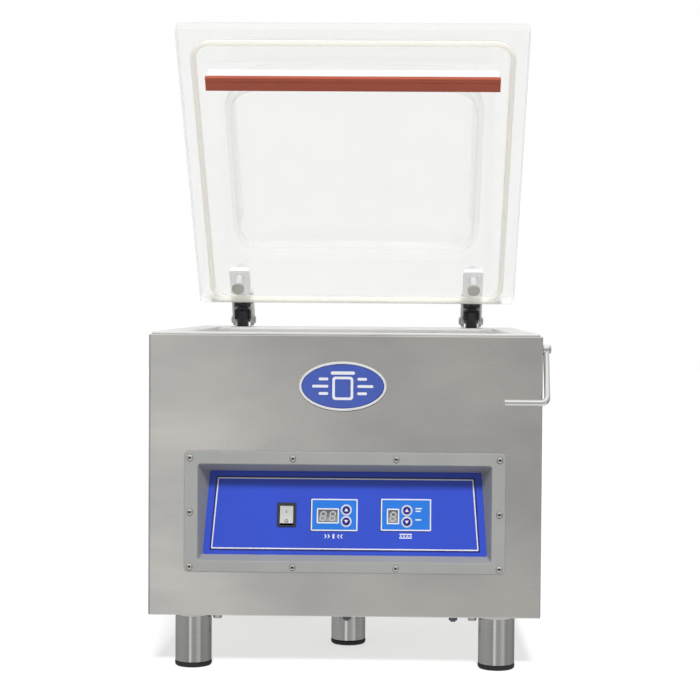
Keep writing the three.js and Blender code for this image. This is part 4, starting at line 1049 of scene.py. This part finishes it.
def build_clamp(side):
    low, high = local_box(f"hinge_block_{side}", LID)
    screw = f"clamp_screw_{side}"
    disc = local_box(screw, LID)[0].z
    centre = ((low.x + high.x) / 2, middle_of(screw, LID).y)
    hole = drum("z", CLAMP_BORE, low.z - 5, high.z + 5, centre, 32)
    seat = drum("z", 6.4, low.z - 5, low.z + 1.0, centre, 32)
    outline = rounded_rect((low.x, high.x), (low.y, high.y), 4.5)
    # The pad's pale grey carries the painted glow.
    piece(f"hinge_pad_{side}", "pale_grey", [prism("z", outline, low.z, high.z)], LID, "lid",
          cut=[hole, seat], bevel=0.8, node=f"hinge_block_{side}")
    tip = INNER_FACE + PLATE_THICK + 1.5    # just inside the arm's tapped hole
    stem = [(3.1, tip), (3.1, low.z - 0.3), (6.0, low.z - 0.3), (6.0, disc + 5.6), (5.4, disc + 5.0),
            (4.2, disc + 4.6)]
    piece(f"clamp_stem_{side}", "sleeve", [lathe("z", stem, centre)], LID, "lid", node=screw)
    knob = [(3.6, disc + 5.2), (8.6, disc + 5.0), (9.3, disc + 4.2), (9.3, disc + 0.8), (8.6, disc + 0.1),
            (6.0, disc), (5.6, disc + 0.4), (2.4, disc + 0.4)]
    spots = [(centre[0] + 9.75 * math.cos(a), centre[1] + 9.75 * math.sin(a)) for a in around(24)]
    flutes = [drum("z", 0.65, disc - 1, disc + 6, spot, 8) for spot in spots]
    piece(f"clamp_knob_{side}", "clamp_steel", [lathe("z", knob, centre, 72)], LID, "lid", cut=flutes)


def build_arm(side):
    """A folded hinge arm: a tongue clamped on the lid, and two cheeks down to the pin."""
    low, high = local_box(f"hinge_arm_{side}", LID)
    x = (low.x + high.x) / 2
    half, cheek, eye = (high.x - low.x) / 2, 3.0, high.y
    web_low, web_high = high.z - 4, high.z
    tongue_end = low.y + 10.5
    web = prism("z", rounded_rect((low.x, high.x), (-40, high.y), 1.5), web_low, web_high)
    tongue = prism("z", rounded_rect((x - 10.5, x + 10.5), (tongue_end, -30), 3), web_low, web_high)
    steps = 14
    angles = [-0.7 * math.pi * (1 - i / steps) for i in range(steps + 1)]
    outline = [(eye, web_low + 1), (-36.5, web_low + 1), (-36.5, 0), (-29.8, -7), (-6, -8)]
    outline += [(eye * math.cos(a), eye * math.sin(a)) for a in angles]
    cheeks = [prism("x", outline, a, a + cheek) for a in (x - half, x + half - cheek)]
    spring = LID.inverted() @ pivot(f"spring_pivot_{side}")
    cross_pin = drum("x", 3, x - half + 1, x + half - 1, (spring.y, spring.z), 28)
    pin_bore = drum("x", 4.3, x - 20, x + 20, (0, 0), 32)
    screw_y = middle_of(f"clamp_screw_{side}", LID).y
    screw_bore = drum("z", CLAMP_BORE, web_low - 5, web_high + 5, (x, screw_y), 28)
    piece(f"hinge_bracket_{side}", "bracket", [web], LID, "lid", add=[tongue, *cheeks, cross_pin],
          cut=[pin_bore, screw_bore], bevel=0.4, node=f"hinge_arm_{side}")
    # The shim's pale grey carries the painted glow.
    shim = rounded_rect((x - 11.2, x + 11.2), (tongue_end, LID_HIGH.y - 1.5), 3)
    piece(f"hinge_shim_{side}", "pale_grey", [prism("z", shim, web_low - 0.25, web_low + 0.2)], LID, "lid")


def build_pin(side):
    low, high = local_box(f"hinge_pin_{side}", MACHINE)
    head = (high.z - low.z) / 2
    end = [(head - 2.2, 0), (head - 0.6, 0.5), (head, 1.4), (head, 2.9), (4.0, 2.9)]
    profile = [(r, low.x + deep) for r, deep in end] + [(r, high.x - deep) for r, deep in reversed(end)]
    centre = ((low.y + high.y) / 2, (low.z + high.z) / 2)
    piece(f"hinge_bolt_{side}", "bolt_steel", [lathe("x", profile, centre, 36)], node=f"hinge_pin_{side}")


def build_spring(side):
    """A gas spring, in a frame at its upper pivot with -z down the tube."""
    axis = Vector(JOINTS[f"spring_stroke_{side}"]["axis"])
    place = turned_about_x(pivot(f"spring_pivot_{side}"), -math.atan2(axis.y, axis.z))
    tube, rod = f"spring_tube_{side}", f"spring_rod_{side}"
    mouth = local_box(tube, place)[0].z
    barrel = [(9.0, -7), (9.0, mouth + 3), (8.2, mouth + 0.6), (6.5, mouth), (4.6, mouth), (4.6, -95),
              (4.6, -100), (7.4, -100), (7.4, -10), (4.0, -6)]
    barrel = lathe("z", barrel, (0, 0), 48, True)
    piece(f"spring_body_{side}", "spring_black", [barrel], place, tube, node=tube)
    fork = [(2.0, 9.2), (2.2, 6.8), (3.6, 6.0), (7.6, 4.8), (8.4, 3.6), (7.6, 1.6), (8.2, 0.4), (10.6, -1.6),
            (11.3, -4.0), (11.4, -15.5), (10.9, -16.6), (10.1, -16.2), (9.7, -5.8), (8.6, -3.6), (5.0, -4.4)]
    cap = prism("y", [(z, x) for x, z in mirrored(fork)], -4.5, 4.5)
    boss = lathe("x", [(5.4, -5.4), (5.9, -4.8), (5.9, 4.8), (5.4, 5.4)], (0, 0))
    neck = lathe("z", [(8.8, -8.5), (8.8, -4.6), (7.6, -3.0)], (0, 0))
    piece(f"spring_cap_{side}", "spring_black", [cap], place, tube, add=[boss, neck],
          cut=[drum("x", 3.3, -12, 12, (0, 0))], bevel=0.4)
    rod_low, rod_high = local_box(rod, place)
    eye_z = rod_low.z + 9.5
    shaft = [(4.0, rod_high.z), (4.0, eye_z + 14), (6.0, eye_z + 13), (6.0, eye_z + 2)]
    eye = [(5.6, -5), (5.6, 5), (8.8, 5), (9.5, 4.3), (9.5, -4.3), (8.8, -5)]
    eye = lathe("x", eye, (0, eye_z), 40, True)
    piece(f"spring_piston_{side}", "bright_steel", [lathe("z", shaft, (0, 0), 32)], place, rod, add=[eye],
          cut=[drum("x", 5.6, -10, 10, (0, eye_z))], node=rod)


# ---- latch ----
def build_latch():
    low = local_box("latch_rod", MACHINE)[0]
    radius, sides, bend, steps = 4.0, 32, 9.0, 12
    eye = MACHINE.inverted() @ pivot("latch_swing")
    corner = Vector((eye.x, low.y + radius, low.z + radius))
    tip = Vector((low.x, corner.y, corner.z))
    down, across = (corner - eye).normalized(), (tip - corner).normalized()
    before, after = corner - down * bend, corner + across * bend
    path = [eye + down * 5]
    for i in range(steps + 1):
        t = i / steps
        path.append(before.lerp(corner, t).lerp(corner.lerp(after, t), t))
    path += [tip - across * 0.5, tip]
    points, faces = sweep(path, radius, sides)
    points[-sides:] = [tip + (point - tip) * 0.88 for point in points[-sides:]]      # chamfered cut end
    boss = [(3.3, -3.7), (3.3, 3.9), (5.5, 3.9), (6.0, 3.4), (6.0, -3.2), (5.5, -3.7)]
    boss = lathe("x", [(r, eye.x + out) for r, out in boss], (eye.y, eye.z), 48, True)
    bore = drum("x", 3.3, eye.x - 12, eye.x + 12, (eye.y, eye.z), 48)
    piece("latch_bar", "bright_steel", [(points, faces)], body="latch_rod", add=[boss], cut=[bore],
          node="latch_rod")
    low, high = local_box("latch_pivot", MACHINE)
    wall, head = SHELL_HIGH.x, eye.x + 4.3
    stud = [(6.5, low.x), (6.5, wall - 1.9), (3, wall - 1.9), (3, wall + 0.4), (6, wall + 0.4),
            (6, wall + 1.4), (3, wall + 1.4), (3, head), (5, head), (5, high.x - 0.9), (4.4, high.x - 0.3),
            (3.4, high.x), (1.8, high.x), (1.5, high.x - 1.2)]
    piece("latch_stud", "bolt_steel", [lathe("x", stud, (eye.y, eye.z))], node="latch_pivot")


# ---- put it together ----
build_shell()
build_deck()
build_rear()
for leg in ("front_left", "front_right", "middle", "rear_left", "rear_right"):
    build_leg(leg)
for hidden, (look, edge) in INSIDE.items():
    keep(hidden, look, edge)
build_seal_bar()
build_badge()
build_bezel()
for number, (x, z) in enumerate(SCREWS, 1):
    build_screw(number, x, z)
build_film()
build_pictograms()
build_displays()
for button in BUTTONS:
    build_button(button)
build_switch()
build_lid()
build_gasket()
build_bar()
for side in SIDES:
    build_clamp(side)
    build_arm(side)
    build_pin(side)
    build_spring(side)
build_latch()


# ---- studio ----
def build_floor():
    """A pale table, partly lit from within, so shadows on it stay faint."""
    obj = plain_mesh("studio_floor", [prism("z", rounded_rect((-9, 9), (-9, 9), 2, 16), -0.02, 0.0)])
    material, tree, shader = new_material("studio_floor", {"Roughness": 0.9, "Emission Color": grey(1.0),
                                                           "Emission Strength": 0.60})
    feed(tree, shader, {"Base Color": ramp(tree, noise(tree, 0.8, detail=2.0), (0.3, 0.54), (0.7, 0.56))})
    obj.data.materials.append(material)
    obj.visible_glossy = False
    obj.visible_diffuse = False


PALE = 1.0                                  # the backdrop as the camera sees it
SOFT = 0.22                                 # what it sheds on the machine from round and above
BOUNCE = 0.62                               # and from the pale floor below
AZIMUTHS = [(-180, 0.18), (-120, 0.34), (-75, 0.40), (-38, 0.36), (-26, 0.30), (-14, 0.98), (-4, 0.44),
            (8, 0.37), (24, 0.44), (42, 0.62), (58, 0.30), (95, 0.34), (135, 0.22), (180, 0.18)]


def build_world():
    """A pale backdrop; reflections see a dim studio with soft bright and dark bands around it."""
    world = bpy.data.worlds.new("studio")
    bpy.context.scene.world = world
    world.use_nodes = True
    tree = world.node_tree
    direction = add_node(tree, "TexCoord").outputs["Generated"]
    parts = add_node(tree, "SeparateXYZ", {"Vector": direction}).outputs
    up, back = parts["Z"], parts["Y"]
    turn = maths(tree, "ARCTAN2", parts["X"], maths(tree, "MULTIPLY", back, -1.0))
    share = spread(tree, turn, 0.0, 1.0, -math.pi, math.pi)
    bands = ramp(tree, share, *[((angle + 180) / 360, shade) for angle, shade in AZIMUTHS])
    low = maths(tree, "MULTIPLY", spread(tree, up, 0.0, 1.0, -0.04, -0.13),
                spread(tree, up, 0.0, 1.0, -0.23, -0.17))
    bands = blend_colours(tree, 1.0, bands, maths(tree, "MULTIPLY_ADD", low, 0.65, 1.0), "MULTIPLY")
    behind = maths(tree, "MULTIPLY", spread(tree, back, 0.0, 1.0, 0.0, 0.5),
                   spread(tree, up, 0.0, 1.0, -0.16, -0.04))
    below = spread(tree, up, 1.0, 0.0, -0.75, -0.5)
    glossy = blend_colours(tree, maths(tree, "MAXIMUM", behind, below), bands, grey(0.84))
    glossy = blend_colours(tree, spread(tree, up, 0.0, 1.0, 0.25, 0.8), glossy, grey(1.08))
    path = add_node(tree, "LightPath").outputs
    seen = maths(tree, "MAXIMUM", path["Is Camera Ray"], path["Is Transmission Ray"])
    soft = blend_colours(tree, spread(tree, up, 0.0, 1.0, -0.45, 0.0), grey(BOUNCE), grey(SOFT))
    colour = blend_colours(tree, path["Is Diffuse Ray"], glossy, soft)
    colour = blend_colours(tree, seen, colour, grey(PALE))
    feed(tree, tree.nodes["Background"], {"Color": colour})


def add_sun(name, strength, angle, azimuth, elevation):
    """A soft sun; azimuth is from the front towards the right, in degrees."""
    light = bpy.data.lights.new(name, "SUN")
    light.energy = strength
    light.angle = math.radians(angle)
    obj = bpy.data.objects.new(name, light)
    bpy.context.scene.collection.objects.link(obj)
    a, e = math.radians(azimuth), math.radians(elevation)
    towards = Vector((math.sin(a) * math.cos(e), -math.cos(a) * math.cos(e), math.sin(e)))
    obj.rotation_euler = towards.to_track_quat("Z", "Y").to_euler()
    obj.visible_glossy = False              # reflections come from the backdrop alone


# The camera stands low in front, a little right of the middle, with its picture plane shifted.
EYE = Vector((0.0712, -2.2361, 0.4618))
YAW, PITCH, ROLL = 0.01788, 0.03127, 0.00731
FOCAL = 85.10
SHIFT = (-0.0333, 0.0063)


def build_camera():
    camera = bpy.data.cameras.new("camera")
    camera.lens = FOCAL
    camera.sensor_width = 36.0
    camera.shift_x, camera.shift_y = SHIFT
    obj = bpy.data.objects.new("camera", camera)
    bpy.context.scene.collection.objects.link(obj)
    turn = Matrix.Rotation(YAW, 4, "Z") @ Matrix.Rotation(math.pi / 2 - PITCH, 4, "X")
    turn @= Matrix.Rotation(ROLL, 4, "Z")
    obj.matrix_world = Matrix.Translation(EYE) @ turn
    bpy.context.scene.camera = obj


build_floor()
build_world()
add_sun("key", 2.6, 10, 3, 43)
add_sun("fill_left", 0.16, 40, -55, 25)
add_sun("fill_right", 0.14, 40, 55, 25)
build_camera()
bpy.context.scene.view_settings.view_transform = "Standard"
